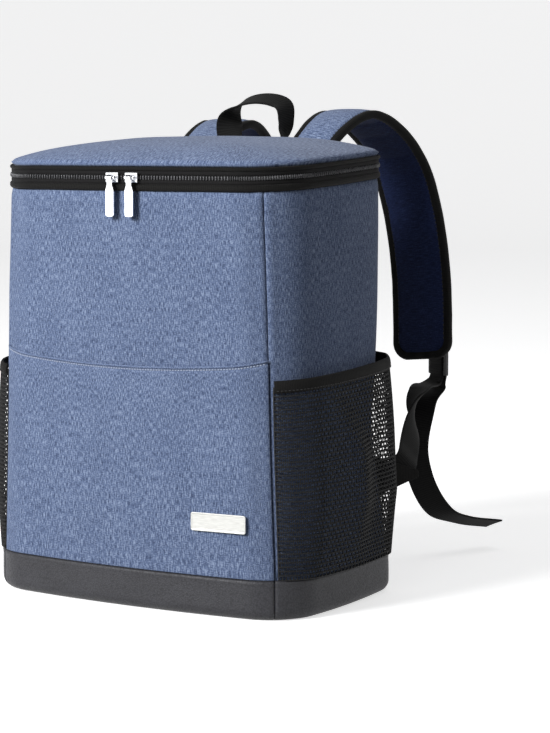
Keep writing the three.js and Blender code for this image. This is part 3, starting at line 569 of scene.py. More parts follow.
# %% The back
BACK_TOP = 389.1
CHANNELS, CHANNEL_DEEP, CHANNEL_WIDE = (-42, 42), 3.0, 5
CHANNEL_START, CHANNEL_END = (60, 90), (300, 335)
back_length = 2 * run_length(BACK_EDGE, 5, RUN_HEIGHT)


def back_place(u, v):
    station = lerp(BACK_EDGE, 10 - BACK_EDGE, u)
    z = lerp(FLOOR_TOP, BACK_TOP, v)
    if station > 5:
        station -= 10
    x, _ = outline(station, z)
    edge = min(u, 1 - u) * back_length
    inside = smoothstep(z, *CHANNEL_START) * (1 - smoothstep(z, *CHANNEL_END))
    swell = seam_roll(edge) - 1.0 * bell(z, BACK_TOP, 5)
    swell -= CHANNEL_DEEP * inside * sum(bell(x, c, CHANNEL_WIDE) for c in CHANNELS)
    swell += 0.6 * ripple(x / 60, z / 80, 5) * clamp(edge / 30) - 0.8
    return body_point(station, z, lerp(min(swell, 0.2), -0.6, smoothstep(BAND_TOP - z, -10, 4)))


back_grid = grid(110, 120, (back_length, BACK_TOP - FLOOR_TOP), back_place, ease=gathered)
back = finished("back_wall", back_grid, NAVY, stands_for=["back_panel"])
thicken(back, 5)

# %% [markdown]
# ## The base
# The leathercloth runs round the foot in four lengths, sewn at the same corners as the walls.
# Its top edge is turned under, which leaves a low ridge, and its foot turns in under the bag.

# %% The base
BAND_OUT, FOOT_IN = 2.3, 8


def band_place(start, end, length):
    def place(u, v):
        station = lerp(start, end, u)
        if station > 5:
            station -= 10
        # The lowest fifth of the rows lies flat under the bag.
        z = 0 if v < 0.1 else lerp(0, BAND_TOP, ((v - 0.1) / 0.9) ** 1.25)
        under = FOOT_IN * clamp(1 - v / 0.1)
        edge = min(u, 1 - u) * length
        out = BAND_OUT + 0.5 * seam_roll(edge)
        out += 0.5 * bell(z, BAND_TOP - 2.2, 1.6) - 1.4 * bell(z, BAND_TOP, 0.8)
        out += 0.5 * ripple(u * length / 40, z / 20, 8) * smoothstep(z, 8, 16) * clamp(edge / 20)
        return body_point(station, z, min(out, BAND_OUT + 0.8) - under)

    return place


BANDS = (
    ("front", -FRONT_EDGE, FRONT_EDGE, 120),
    ("right", SIDE_FRONT_EDGE, SIDE_REAR_EDGE, 70),
    ("left", -SIDE_REAR_EDGE, -SIDE_FRONT_EDGE, 70),
    ("back", BACK_EDGE, 10 - BACK_EDGE, 110),
)
for word, start, end, columns in BANDS:
    length = run_length(start, min(end, 5), 20) * (2 if end > 5 else 1)
    mesh = grid(columns, 26, (length, BAND_TOP), band_place(start, end, length))
    band = finished(f"base_{word}", mesh, LEATHER, stands_for=[f"base_band_{word}"])
    thicken(band, 1.8)
nodes["bottom_panel"].data.materials.clear()
nodes["bottom_panel"].data.materials.append(LEATHER)

# %% [markdown]
# ## The front pocket
# The pocket is one sheet of the same melange over the lower front, sewn in at the corner seams
# and the base. Its top is folded over, and the fold sags a little in the middle because nothing
# holds it there. A row of pale stitches runs close below the fold. The sheet stands two or three
# millimetres off the wall, and is full enough to show slow waves.

# %% The front pocket
POCKET_CLOTH, POCKET_FULL, STITCH_BELOW = 1.4, 2.4, 3.2
front_length = run_length(-FRONT_EDGE, FRONT_EDGE, 130)


def pocket_out(station, z):
    """The pocket's outer face at a place."""
    up = clamp((z - BAND_TOP) / (POCKET_TOP - BAND_TOP))
    held = 1 - (station / FRONT_SEAM) ** 2
    full = 0.3 + POCKET_FULL * math.sin(math.pi * up) * held
    wave = ripple(station * 2.1, z / 75, 11) + 0.5 * ripple(station * 4.6, z / 34, 12)
    return full + POCKET_CLOTH + 0.9 * wave * math.sin(math.pi * clamp(up, 0, 0.97)) * clamp(held * 3)


def pocket_place(u, v):
    station = lerp(-FRONT_EDGE, FRONT_EDGE, u)
    # The rows lie closer together towards the hem.
    z = lerp(BAND_TOP + 0.3, hem_height(station), 1 - (1 - v) ** 1.5)
    edge = min(u, 1 - u) * front_length
    below = hem_height(station) - z
    out = pocket_out(station, z) + 0.6 * seam_roll(edge)
    out += 0.9 * bell(below, 1.2, 1.4) - 0.7 * bell(below, STITCH_BELOW, 1.2)
    return body_point(station, z, out)


pocket_grid = grid(120, 130, (front_length, POCKET_TOP - BAND_TOP), pocket_place, ease=gathered)
pocket = finished("pocket_sheet", pocket_grid, BLUE, stands_for=["front_pocket"])
thicken(pocket, POCKET_CLOTH, round_mm=0.4)


# %% [markdown]
# ## Stitches
# A lockstitch shows as short dashes of thread, each sunk at its ends. One dash is a small ball
# drawn out along the seam, and a row of them follows any line on the cloth.


# %% Stitches
def stitches(name, line, outwards, material, pitch_mm=3.4, long_mm=2.5, thick_mm=0.45):
    """Dashes along line(t), a place in mm for t from 0 to 1; outwards(t) points off the cloth."""
    points = [line(i / 400) for i in range(401)]
    total = sum((b - a).length for a, b in zip(points, points[1:]))
    count = int(total / pitch_mm)
    matrices = []
    travelled, wanted = 0.0, pitch_mm / 2
    for i, (a, b) in enumerate(zip(points, points[1:])):
        step = (b - a).length
        while wanted <= travelled + step and step > 0:
            middle = a.lerp(b, (wanted - travelled) / step)
            along = (b - a).normalized()
            up = outwards((i + 0.5) / 400)
            across = along.cross(up).normalized()
            up = across.cross(along)
            turn = Matrix((along, across, up)).transposed().to_4x4()
            size = Matrix.Diagonal((long_mm / 2, thick_mm, thick_mm, 1))
            matrices.append(Matrix.Scale(MM, 4) @ Matrix.Translation(middle) @ turn @ size)
            wanted += pitch_mm
        travelled += step
    mesh = bmesh.new()
    scatter(mesh, matrices)
    print(name, count, "stitches")
    return finished(name, mesh, material)


def body_normal(station, z):
    return (body_point(station, z, 1) - body_point(station, z, 0)).normalized()


HEM_END, HEM_MIDDLE = 1.36, 210


def hem_line(t):
    station = lerp(-FRONT_EDGE, FRONT_EDGE, lerp(0.01, 0.99, t))
    z = hem_height(station) - STITCH_BELOW
    return body_point(station, z, pocket_out(station, z) - 0.35)


def hem_out(t):
    return body_normal(lerp(-HEM_END, HEM_END, t), HEM_MIDDLE)


stitches(
    "pocket_stitches", hem_line, hem_out, THREAD, pitch_mm=2.8, long_mm=2.6, thick_mm=0.6
)

# %% [markdown]
# ## The plate
# A small bare plate is riveted low on the right half of the pocket. It is pressed from thin
# sheet: a rounded rectangle with a raised rim. It is flat, so it touches the bowed pocket along
# its middle only.

# %% The plate
PLATE_X, PLATE_Z, PLATE_WIDTH, PLATE_HEIGHT, PLATE_THICK = 97, 84, 53, 16, 1.4


def station_at(x, z):
    """The station on the front at a distance from the middle."""
    low, high = 0.0, 2.0
    for _ in range(30):
        middle = (low + high) / 2
        low, high = (middle, high) if outline(middle, z)[0] < x else (low, middle)
    return low


def plate():
    mesh = bmesh.new()
    bmesh.ops.create_cube(mesh, size=1, matrix=Matrix.Diagonal((PLATE_WIDTH, PLATE_HEIGHT, PLATE_THICK, 1)))
    upright = [e for e in mesh.edges if abs((e.verts[0].co - e.verts[1].co).z) > PLATE_THICK * 0.9]
    bmesh.ops.bevel(mesh, geom=upright, offset=1.8, segments=4, profile=0.5, affect="EDGES", material=-1)
    top = [f for f in mesh.faces if f.normal.z > 0.9]
    bmesh.ops.inset_region(mesh, faces=top, thickness=1.1, depth=0.0)
    inner = [f for f in mesh.faces if f.normal.z > 0.9 and f.calc_area() > PLATE_WIDTH * PLATE_HEIGHT / 2]
    bmesh.ops.inset_region(mesh, faces=inner, thickness=0.35, depth=-0.35)
    station = station_at(PLATE_X, PLATE_Z)
    out = pocket_out(station, PLATE_Z) + 0.6 + PLATE_THICK / 2
    up = body_normal(station, PLATE_Z)
    rise = Vector((0, 0, 1))
    across = rise.cross(up).normalized()
    turn = Matrix((across, up.cross(across), up)).transposed().to_4x4()
    place = Matrix.Scale(MM, 4) @ Matrix.Translation(body_point(station, PLATE_Z, out)) @ turn
    bmesh.ops.transform(mesh, matrix=place, verts=mesh.verts)
    return mesh


name_plate = finished("plate", plate(), STEEL, stands_for=["label_plate"])
crisp(name_plate, round_mm=0.25)

# %% [markdown]
# ## The zip
# From the wall up: a bound edge, a tape, a nylon coil, a second tape and the lid's bound edge,
# round the front and both sides. The bound edges are tape folded over the raw cloth, so they
# bulge. A coil zip is two nylon spirals that mesh: closed, they look like one row of small upright
# loops, so each step of the spiral is one rounded loop as high as the coil.

# %% The zip
GAP = 0.3
LOWER_BINDING = (WALL_TOP + GAP, WALL_TOP + GAP + 6)
LOWER_TAPE = (LOWER_BINDING[1] + GAP, LOWER_BINDING[1] + GAP + 2.8)
TEETH = (LOWER_TAPE[1] + GAP, LOWER_TAPE[1] + GAP + 4.4)
UPPER_TAPE = (TEETH[1] + GAP, TEETH[1] + GAP + 2.8)
UPPER_BINDING = (UPPER_TAPE[1] + GAP, UPPER_TAPE[1] + GAP + 3.6)
TUCK = 0.8
zip_length = run_length(-SIDE_REAR_EDGE, SIDE_REAR_EDGE, WALL_TOP)


def zip_band(name, heights, bulge, proud, material, solid, rows=8, thickness=1.6):
    """A tape round three sides that bulges by so much over its height."""

    def place(u, v):
        station = lerp(-SIDE_REAR_EDGE, SIDE_REAR_EDGE, u)
        z = lerp(heights[0], heights[1], v)
        wobble = 0.25 * ripple(u * zip_length / 16, 0, proud * 9)
        return body_point(station, z, proud + wobble - bulge * abs(2 * v - 1) ** 3)

    mesh = grid(260, rows, (zip_length, heights[1] - heights[0]), place)
    return thicken(finished(name, mesh, material, stands_for=[solid]), thickness)


zip_band("zip_edge_lower", LOWER_BINDING, 1.7, 1.5, TAPE, "zip_binding_lower")
for word, (low, high) in (("lower", LOWER_TAPE), ("upper", UPPER_TAPE)):
    zip_band(
        f"zip_weave_{word}", (low - TUCK, high + TUCK), 0.1, 0.0, ZIP_TAPE, f"zip_tape_{word}",
        rows=2, thickness=1,
    )
zip_band("zip_edge_upper", UPPER_BINDING, 1.5, 1.4, TAPE, "zip_binding_upper")

# %% The coil
TOOTH_PITCH, TOOTH_LONG, TOOTH_THICK = 2.5, 4.3, 1.2


def coil():
    """A ribbon behind the coil, and the loops on it, as one piece."""
    middle = (TEETH[0] + TEETH[1]) / 2

    def place(u, v):
        return body_point(lerp(-SIDE_REAR_EDGE, SIDE_REAR_EDGE, u), lerp(TEETH[0], TEETH[1], v), -0.7)

    mesh = grid(200, 1, (zip_length, TEETH[1] - TEETH[0]), place)
    count = int(zip_length / TOOTH_PITCH)
    matrices = []
    for i in range(count):
        station = lerp(-SIDE_REAR_EDGE, SIDE_REAR_EDGE, (i + 0.5) / count)
        out = body_normal(station, middle)
        along = Vector((0, 0, 1)).cross(out).normalized()
        turn = Matrix((along, out, Vector((0, 0, 1)))).transposed().to_4x4()
        size = Matrix.Diagonal((TOOTH_THICK / 2, 1.1, TOOTH_LONG / 2, 1))
        at = body_point(station, middle, 0.2)
        matrices.append(Matrix.Scale(MM, 4) @ Matrix.Translation(at) @ turn @ size)
    scatter(mesh, matrices)
    print("coil loops:", len(matrices))
    return mesh


finished("zip_coil", coil(), COIL_WITH_PAINTED_GLINT, stands_for=["zip_teeth"])

# %% [markdown]
# ## The lid
# The lid is a padded panel with a low dome, sewn into the upper bound edge. A round grid would
# pinch the cloth in its middle, so a square grid is drawn onto the outline: each of its square
# rings becomes a smaller copy of the outline. The foam is then blown up by a cloth simulation,
# which gives the lid the soft swell that a drawn dome lacks.

# %% The lid
LID_CROWN, LID_THICKNESS, LID_WIDE, LID_DEEP = 13, 6, 320, 206
LID_LOW = UPPER_BINDING[1] + GAP


def ring_station(a, b):
    """The station of a place on a square ring; the square's corners are the bag's corners."""
    if -b >= abs(a):
        return 1.5 * a / -b if b else 0.0
    if abs(a) >= abs(b):
        return math.copysign(lerp(1.5, 3.5, (b / abs(a) + 1) / 2), a)
    turned = lerp(3.5, 5, 1 - abs(a) / b)
    return math.copysign(turned, a if a else 1)


def lid_place(u, v):
    a, b = 2 * u - 1, 2 * v - 1
    share = max(abs(a), abs(b))
    rim = body_point(ring_station(a, b), WALL_TOP, 0)
    middle = (BACK_REACH - FRONT_REACH) / 2
    x, y = rim.x * share, lerp(middle, rim.y, share)
    depth = clamp((y + FRONT_REACH) / (FRONT_REACH + BACK_REACH))
    dome = LID_CROWN * (1 - share**3.2) + LID_THICKNESS * (1 - 0.4 * share**6)
    dome -= 1.6 * smoothstep(share, 0.975, 1.0)
    dome += 0.9 * ripple(x / 60, y / 45, 21) * (1 - share**4)
    return Vector((x, y, LID_LOW + dome + TOP_RISE * depth))


def lid_free(u, v):
    """Held at the seam all round and free from 30 mm inside it."""
    return smoothstep(min(u, LID_WIDE * MM - u, v, LID_DEEP * MM - v), 0.002, 0.03)


lid_grid = grid(96, 72, (LID_WIDE, LID_DEEP), lid_place)
lid = finished("lid_top", lid_grid, BLUE, stands_for=["lid"])
blown_up(lid, lid_free, most_mm=5)
thicken(lid, 4)

# %% [markdown]
# ## Net side pockets
# The net is a knitted hexagon mesh. A brick wall is a hexagon mesh that has been squared: take
# a grid, drop every second upright in each row, and each brick has six corners. Pushing its
# corners up and down in turn makes the hexagons, and the Wireframe modifier makes the yarn.
# The net hangs over the hollow rear corner of the bag, bulges, and has one long soft fold.

# %% The net's surface
NET_BULGE, NET_MOUTH, NET_TOP_FRONT, NET_TOP_REAR, NET_EDGE = 15, 0.65, 208, 219, 11


def net_point(u, v, out):
    """A place in mm on the right net. u runs from the front seam to the rear, v upwards."""
    station = lerp(SIDE_FRONT_EDGE + 0.05, SIDE_REAR_EDGE - 0.02, u)
    z = lerp(BAND_TOP + 0.3, lerp(NET_TOP_FRONT, NET_TOP_REAR, u), v)
    held = smoothstep(1 - u, 0, 0.12)
    slack = lerp(1, NET_MOUTH, v**4) * min(1, 0.35 + 2 * v)
    bulge = NET_BULGE * max(0, math.sin(math.pi * u)) ** 0.7 * slack
    loose = body_point(station, z, GAP + out + bulge)
    taut = body_point(station, z, GAP + out + bulge, taut=True)
    return loose.lerp(taut, held * slack)


def net_fold(u, v):
    """The long fold runs down and back from the middle of the bound top."""
    middle = 0.3 + 0.16 * smoothstep(1 - v, 0.05, 0.45)
    ridge = bell(u, middle, 0.05) - 0.9 * bell(u, middle + 0.13, 0.07)
    height = 3.8 * ridge + 1.3 * ripple(u * 5, v * 3, 31)
    return height * math.sin(math.pi * clamp(v * 0.98 + 0.02)) * math.sin(math.pi * u) ** 0.5


# %% The net's hexagons
NET_COLUMNS, NET_ROWS, YARN_MM = 96, 44, 1.65


def net(mirrored):
    """Bricks two columns wide; each row starts one column on from the last."""
    # The net ends inside the bound top, near the middle of its height.
    top = 1 - 0.55 * NET_EDGE / (NET_TOP_FRONT - BAND_TOP)
    mesh = bmesh.new()
    bmesh.ops.create_grid(mesh, x_segments=NET_COLUMNS, y_segments=NET_ROWS, size=0.5)
    upright = []
    for edge in mesh.edges:
        a, b = (v.co for v in edge.verts)
        if abs(a.x - b.x) < 1e-6 and not edge.is_boundary:
            column = round((a.x + 0.5) * NET_COLUMNS)
            row = round((min(a.y, b.y) + 0.5) * NET_ROWS)
            if (column + row) % 2:
                upright.append(edge)
    bmesh.ops.dissolve_edges(mesh, edges=upright, use_verts=False)
    for vert in mesh.verts:
        column = round((vert.co.x + 0.5) * NET_COLUMNS)
        row = round((vert.co.y + 0.5) * NET_ROWS)
        u, v = column / NET_COLUMNS, row / NET_ROWS
        inner = 0 < column < NET_COLUMNS and 0 < row < NET_ROWS
        # The upright that stays below or above a corner pulls that corner towards it.
        zigzag = (1 if (column + row) % 2 else -1) * inner / 6 / NET_ROWS
        v = (v + zigzag) * top
        point = net_point(u, v, 0.7 + net_fold(u, v)) * MM
        vert.co = Vector((-point.x, point.y, point.z)) if mirrored else point
    bmesh.ops.recalc_face_normals(mesh, faces=mesh.faces)
    return mesh


for word, side in SIDES:
    yarn = finished(f"net_{word}", net(side < 0), YARN, stands_for=[f"side_net_{word}"])
    modifier(
        yarn, "WIREFRAME", thickness=YARN_MM * MM, use_even_offset=False, use_boundary=True, use_replace=True
    )

# %% [markdown]
# ## The nets' bound tops
# An elastic tape is folded over the net's top and sewn through. It holds the mouth near the
# wall, with room for a hand to pull it open, and its two ends vanish in the seams.

# %% The nets' bound tops
for word, side in SIDES:
    share = NET_EDGE / (NET_TOP_FRONT - BAND_TOP)

    def binding_place(u, v, share=share):
        out = GAP + 2.4 - 1.6 * abs(2 * v - 1) ** 3 + 0.25 * ripple(u * 14, v, 41)
        return net_point(u, 1 - share * (1 - v), out)

    mesh = grid(110, 8, (190, NET_EDGE), binding_place, mirrored=side < 0)
    solid = f"side_net_binding_{word}"
    binding = finished(f"net_edge_{word}", mesh, TAPE, stands_for=[solid])
    thicken(binding, 2.0, round_mm=0.3)

    def edge_line(t, side=side, share=share):
        point = net_point(lerp(0.01, 0.99, t), 1 - share * 0.8, GAP + 2.35)
        return Vector((point.x * side, point.y, point.z))

    def edge_out(t, side=side):
        u = lerp(0.01, 0.99, t)
        point = net_point(u, 0.9, 1) - net_point(u, 0.9, 0)
        return Vector((point.x * side, point.y, point.z)).normalized()

    stitches(f"net_edge_stitches_{word}", edge_line, edge_out, DARK_THREAD, thick_mm=0.35)

# %% [markdown]
# ## Straps and webbing
# A flat strap is a ribbon: a smooth line for its middle and, at each place on it, the direction
# of its width. Blender's curves twist as they like, so the width is worked out here and only
# the finished grid is handed over. The lines repeat the solids' own, a little finer.


# %% A smooth line
def smooth_line(points):
    """A smooth line through the points, as a function of its length share. Each stretch is
    blended from its four nearest points, with knots a root of their distance apart."""
    first = points[0] * 2 - points[1]
    last = points[-1] * 2 - points[-2]
    all_points = [first, *points, last]
    fine = []
    for i in range(len(points) - 1):
        p = all_points[i : i + 4]
        knots = [0.0]
        for a, b in zip(p, p[1:]):
            knots.append(knots[-1] + max((b - a).length ** 0.5, 1e-4))
        for step in range(24):
            t = lerp(knots[1], knots[2], step / 24)

            def blend(a, b, low, high, t=t):
                return a * ((high - t) / (high - low)) + b * ((t - low) / (high - low))

            a1, a2, a3 = (blend(p[j], p[j + 1], knots[j], knots[j + 1]) for j in range(3))
            b1 = blend(a1, a2, knots[0], knots[2])
            b2 = blend(a2, a3, knots[1], knots[3])
            fine.append(blend(b1, b2, knots[1], knots[2]))
    fine.append(points[-1].copy())
    travelled = [0.0]
    for a, b in zip(fine, fine[1:]):
        travelled.append(travelled[-1] + (b - a).length)

    def at(share):
        wanted = clamp(share) * travelled[-1]
        low, high = 0, len(travelled) - 1
        while high - low > 1:
            middle = (low + high) // 2
            low, high = (middle, high) if travelled[middle] <= wanted else (low, middle)
        step = travelled[high] - travelled[low]
        return fine[low].lerp(fine[high], (wanted - travelled[low]) / step if step else 0)

    at.length = travelled[-1]
    return at


def tangent_at(line, share):
    return (line(min(share + 0.012, 1)) - line(max(share - 0.012, 0))).normalized()


WEBBING_WIDTH, WEBBING_CLOTH = 25, 1.8


def ribbon(name, points, across, stands_for, steps, mirrored=False):
    """A length of webbing along a line; across(t) is the direction of its width."""
    line = smooth_line(points)

    def place(u, v):
        along = tangent_at(line, u)
        broad = across(u)
        broad = (broad - along * broad.dot(along)).normalized()
        thin = along.cross(broad)
        cupped = 0.35 * (2 * v - 1) ** 2
        return line(u) + broad * (v - 0.5) * WEBBING_WIDTH + thin * cupped

    mesh = grid(steps, 8, (line.length, WEBBING_WIDTH), place, mirrored=mirrored)
    piece = finished(name, mesh, WEBBING, stands_for=stands_for)
    # An even offset would throw spikes where the webbing bends sharply round a bar.
    thicken(piece, WEBBING_CLOTH, offset=0, round_mm=0.5, even=False)
    return line


# %% [markdown]
# ## The handle
# One length of webbing, its ends sewn flat to the back. It stands up in a loop because the
# webbing is stiff, and its crest is turned flat to the hand.

# %% The handle
HANDLE_FOOT, HANDLE_BASE, HANDLE_RISE = 20, 364, 87
HANDLE_LEAN, HANDLE_SPREAD, HANDLE_RIGHT = 22, 14, 0.6
HANDLE_SPREADS = (0, 0.05, 0.1, 0.75, 1, 0.4)
HANDLE_RISES = (0, 0.18, 0.36, 0.56, 0.74, 0.93)
HANDLE_LEANS = (0, 0.04, 0.28, 0.62, 0.85, 1)
back_face = body_point(5, WALL_TOP, 0).y


def handle_leg(side, spread):
    y = back_face + 2 * GAP + WEBBING_CLOTH / 2
    rows = zip(HANDLE_SPREADS, HANDLE_RISES, HANDLE_LEANS)
    return [
        Vector((side * (HANDLE_FOOT + s * spread), y + lean * HANDLE_LEAN, HANDLE_BASE + rise * HANDLE_RISE))
        for s, rise, lean in rows
    ]


def handle_across(t):
    flat, gripped = Vector((1, 0, 0)), Vector((0, 0.93, 0.37))
    if t < 0.5:
        return flat.lerp(gripped, smoothstep(t, 0.2, 0.42))
    return gripped.lerp(-flat, smoothstep(t, 0.73, 0.84))


crest = Vector((0, back_face + 2 * GAP + WEBBING_CLOTH / 2 + HANDLE_LEAN, HANDLE_BASE + HANDLE_RISE))
left_leg, right_leg = handle_leg(-1, HANDLE_SPREAD), handle_leg(1, HANDLE_SPREAD * HANDLE_RIGHT)
handle_points = [*left_leg, crest, *reversed(right_leg)]
handle_line = ribbon("handle_loop", handle_points, handle_across, ["top_handle"], steps=140)
print("handle", round(handle_line.length), "mm")

# %% [markdown]
# ## Shoulder straps
# Each strap is a long foam pad, melange outside and smooth navy towards the wearer, with its
# edges closed by a folded tape. It rises from the back, arches over and hangs. The pad is a
# closed tube of cloth drawn flat, thick along its middle, with shallow cross creases where the
# foam has been bent. A short cloth simulation then swells it a little between its edges, ends
# and creases, where it is held. The tape is a second tube, round the pad's edge.

# %% Shoulder straps
STRAP_ROOT, STRAP_ROOT_HEIGHT, STRAP_ROOT_WIDTH, STRAP_WIDTH = 58, 350, 46, 64
STRAP_THICKNESS, STRAP_EDGE, STRAP_BINDING, STRAP_END = 11, 5.6, 8.5, 17
STRAP_REACH, STRAP_ARCH, STRAP_DROP, STRAP_SPLAY = 150, 86, 153, 53
LEFT_ARCH_SHARE, LEFT_LEAN = 0.9, 6
STRAP_SPLAYS = (0, 0.01, 0.02, 0.08, 0.16, 0.34, 0.48, 0.66, 0.84, 1)
STRAP_REACHES = (0, 0, 0.015, 0.1, 0.45, 0.73, 0.93, 1, 1, 0.93)
STRAP_LIFTS = (0, 0.3, 0.5, 0.73, 1, 0.8, 0.43, -0.06, -0.45, -1)
CREASES = ((0.36, 2.2), (0.42, 1.8), (0.50, 2.8), (0.55, 1.8), (0.63, 2.4), (0.72, 1.6), (0.93, 2.2))
strap_y = back_face + 2 * GAP + STRAP_THICKNESS / 2


def strap_line(arch, lean):
    points = []
    for i, (splay, reach, lift) in enumerate(zip(STRAP_SPLAYS, STRAP_REACHES, STRAP_LIFTS)):
        height = STRAP_ROOT_HEIGHT + lift * (arch if lift > 0 else STRAP_DROP)
        x = STRAP_ROOT + splay * STRAP_SPLAY + (lean * (1 - reach) if i else 0)
        points.append(Vector((x, strap_y + reach * STRAP_REACH, height)))
    return smooth_line(points)


def strap_point(line, s, w, h):
    """A place on the strap: s along it, w across it, h towards the wearer, in mm."""
    t = s / line.length
    along = tangent_at(line, t)
    broad = Vector((1, 0, 0))
    broad = (broad - along * broad.dot(along)).normalized()
    past = max(0, s - line.length)
    return line(t) + along * past + broad * w + along.cross(broad) * h


def strap_half(line, s):
    return lerp(STRAP_ROOT_WIDTH, STRAP_WIDTH, smoothstep(s / line.length, 0.05, 0.42)) / 2


def rounded(angle, power):
    """A cosine drawn towards a flat top, for a section with full edges."""
    c = math.cos(angle)
    return math.copysign(abs(c) ** power, c)


def strap_pad(line, mirrored):
    """u runs along the strap, v round its section, from one edge over the outer face."""
    edge = STRAP_BINDING * 0.55
    end = line.length - edge

    def place(u, v):
        s = u * end
        left_over = clamp((end - s) / STRAP_END)
        half = strap_half(line, s) - edge - STRAP_END * 0.9 * (1 - math.sqrt(1 - (1 - left_over) ** 2))
        angle = v * 2 * math.pi
        crease = sum(depth * bell(s / line.length, at, 0.008) for at, depth in CREASES)
        thick = (STRAP_THICKNESS * 1.02 - crease) * (0.45 + 0.55 * math.sqrt(left_over))
        thick += 0.5 * ripple(s / 22, 1.5 * math.cos(angle), 51)
        w = half * rounded(angle, 0.75)
        h = -thick / 2 * rounded(angle - math.pi / 2, 0.62)
        return strap_point(line, s, w, h)

    mesh = grid(120, 28, (line.length, 2 * STRAP_WIDTH), place, closed=True, mirrored=mirrored)
    bmesh.ops.holes_fill(mesh, edges=[e for e in mesh.edges if e.is_boundary], sides=0)
    cloth = mesh.loops.layers.uv.active
    for face in mesh.faces:
        around = sum(loop[cloth].uv.y for loop in face.loops) / len(face.loops) / (2 * STRAP_WIDTH * MM)
        face.material_index = 1 if around > 0.5 else 0
    bmesh.ops.recalc_face_normals(mesh, faces=mesh.faces)
    return mesh


def strap_tape(line, mirrored):
    """The folded tape: down one edge, round the end and up the other."""
    end = line.length - STRAP_END
    straight_share = end / (2 * end + math.pi * STRAP_END)

    def spine(t):
        """(s, way, angle) on the tape's route."""
        if t < straight_share:
            return t / straight_share * end, 1, 0.0
        if t > 1 - straight_share:
            return (1 - t) / straight_share * end, -1, 0.0
        a = (t - straight_share) / (1 - 2 * straight_share) * math.pi
        return (end, 1, a) if a <= math.pi / 2 else (end, -1, math.pi - a)

    def place(u, v):
        s, way, a = spine(u)
        angle = v * 2 * math.pi
        swell = 1 + 0.06 * ripple(u * 60, math.cos(angle), 52)
        across = STRAP_BINDING / 2 * rounded(angle, 0.8) * swell
        h = (STRAP_EDGE / 2 + 1.3) * rounded(angle - math.pi / 2, 0.8) * swell
        radius = STRAP_END - STRAP_BINDING / 2 + across
        w = strap_half(line, s) - STRAP_END + radius * math.cos(a)
        return strap_point(line, s + radius * math.sin(a), way * w, h)

    size = (2 * end + math.pi * STRAP_END, 2 * STRAP_BINDING)
    mesh = grid(260, 14, size, place, closed=True, mirrored=mirrored)
    bmesh.ops.holes_fill(mesh, edges=[e for e in mesh.edges if e.is_boundary], sides=0)
    bmesh.ops.recalc_face_normals(mesh, faces=mesh.faces)
    return mesh


strap_lines = {}
for word, side in SIDES:
    line = strap_line(STRAP_ARCH, 0) if side > 0 else strap_line(STRAP_ARCH * LEFT_ARCH_SHARE, LEFT_LEAN)
    strap_lines[word] = line
    mirrored = side < 0
    mesh = strap_pad(line, mirrored)
    pad = finished(f"strap_{word}", mesh, [BLUE, NAVY], stands_for=[f"strap_pad_{word}"])

    def loose(u, v, line=line):
        """Held at the edges, at the ends and along the creases."""
        share = u / (line.length * MM)
        edge = abs(math.sin(v / (STRAP_WIDTH * MM) * math.pi))
        crease = max(bell(share, at, 0.007) for at, _ in CREASES)
        ends = smoothstep(min(share, 1 - share), 0.01, 0.05)
        return smoothstep(edge, 0.3, 0.8) * (1 - 0.9 * crease) * ends

    blown_up(pad, loose, most_mm=3)
    mesh = strap_tape(line, mirrored)
    finished(f"strap_edge_{word}", mesh, TAPE, stands_for=[f"strap_binding_{word}"])
    for edge_word, way in (("outer", 1), ("inner", -1)):
        for face_word, face in (("front", -1), ("back", 1)):

            def seam(t, line=line, way=way, face=face, side=side):
                s = lerp(4, line.length - STRAP_END, t)
                w = way * (strap_half(line, s) - STRAP_BINDING + 1.2)
                point = strap_point(line, s, w, face * (STRAP_EDGE / 2 + 0.75))
                return Vector((point.x * side, point.y, point.z))

            def off(t, line=line, face=face, side=side):
                s = lerp(4, line.length - STRAP_END, t)
                point = strap_point(line, s, 0, face) - strap_point(line, s, 0, 0)
                return Vector((point.x * side, point.y, point.z)).normalized()

            stitches(
                f"strap_stitches_{edge_word}_{face_word}_{word}", seam, off, DARK_THREAD,
                pitch_mm=4.2, long_mm=3, thick_mm=0.4,
            )
print("strap", round(strap_lines["right"].length), "mm")

# %% [markdown]
# ## Buckles
# A ladder buckle is a moulded frame with crossbars. The strap's webbing is sewn round the top
# bar, and the lower webbing goes up behind, over a middle bar and down again, so that it grips
# when pulled. Each bar is a beam with round edges.

# %% Buckles
BUCKLE_WIDTH, BUCKLE_HEIGHT, BUCKLE_THICK, BUCKLE_RIM = 34, 27, 4.2, 4
BUCKLE_X, BUCKLE_Y, BUCKLE_Z, BUCKLE_TURN = 118, 269, 194, -33
turn = math.radians(BUCKLE_TURN)
buckle_across = Vector((math.cos(turn), math.sin(turn), 0))
buckle_out = Vector((-buckle_across.y, buckle_across.x, 0))


def beam(mesh, centre, size, matrix):
    """A beam with round edges, placed and then turned by the matrix."""
    shape = Matrix.Translation(centre) @ Matrix.Diagonal((*size, 1))
    made = bmesh.ops.create_cube(mesh, size=1, matrix=shape)
    edges = list({e for v in made["verts"] for e in v.link_edges})
    rounded_beam = bmesh.ops.bevel(
        mesh, geom=edges, offset=min(size) * 0.32, segments=3, profile=0.5, affect="EDGES", material=-1
    )
    verts = {v for f in rounded_beam["faces"] for v in f.verts}
    bmesh.ops.transform(mesh, matrix=matrix, verts=list(verts))


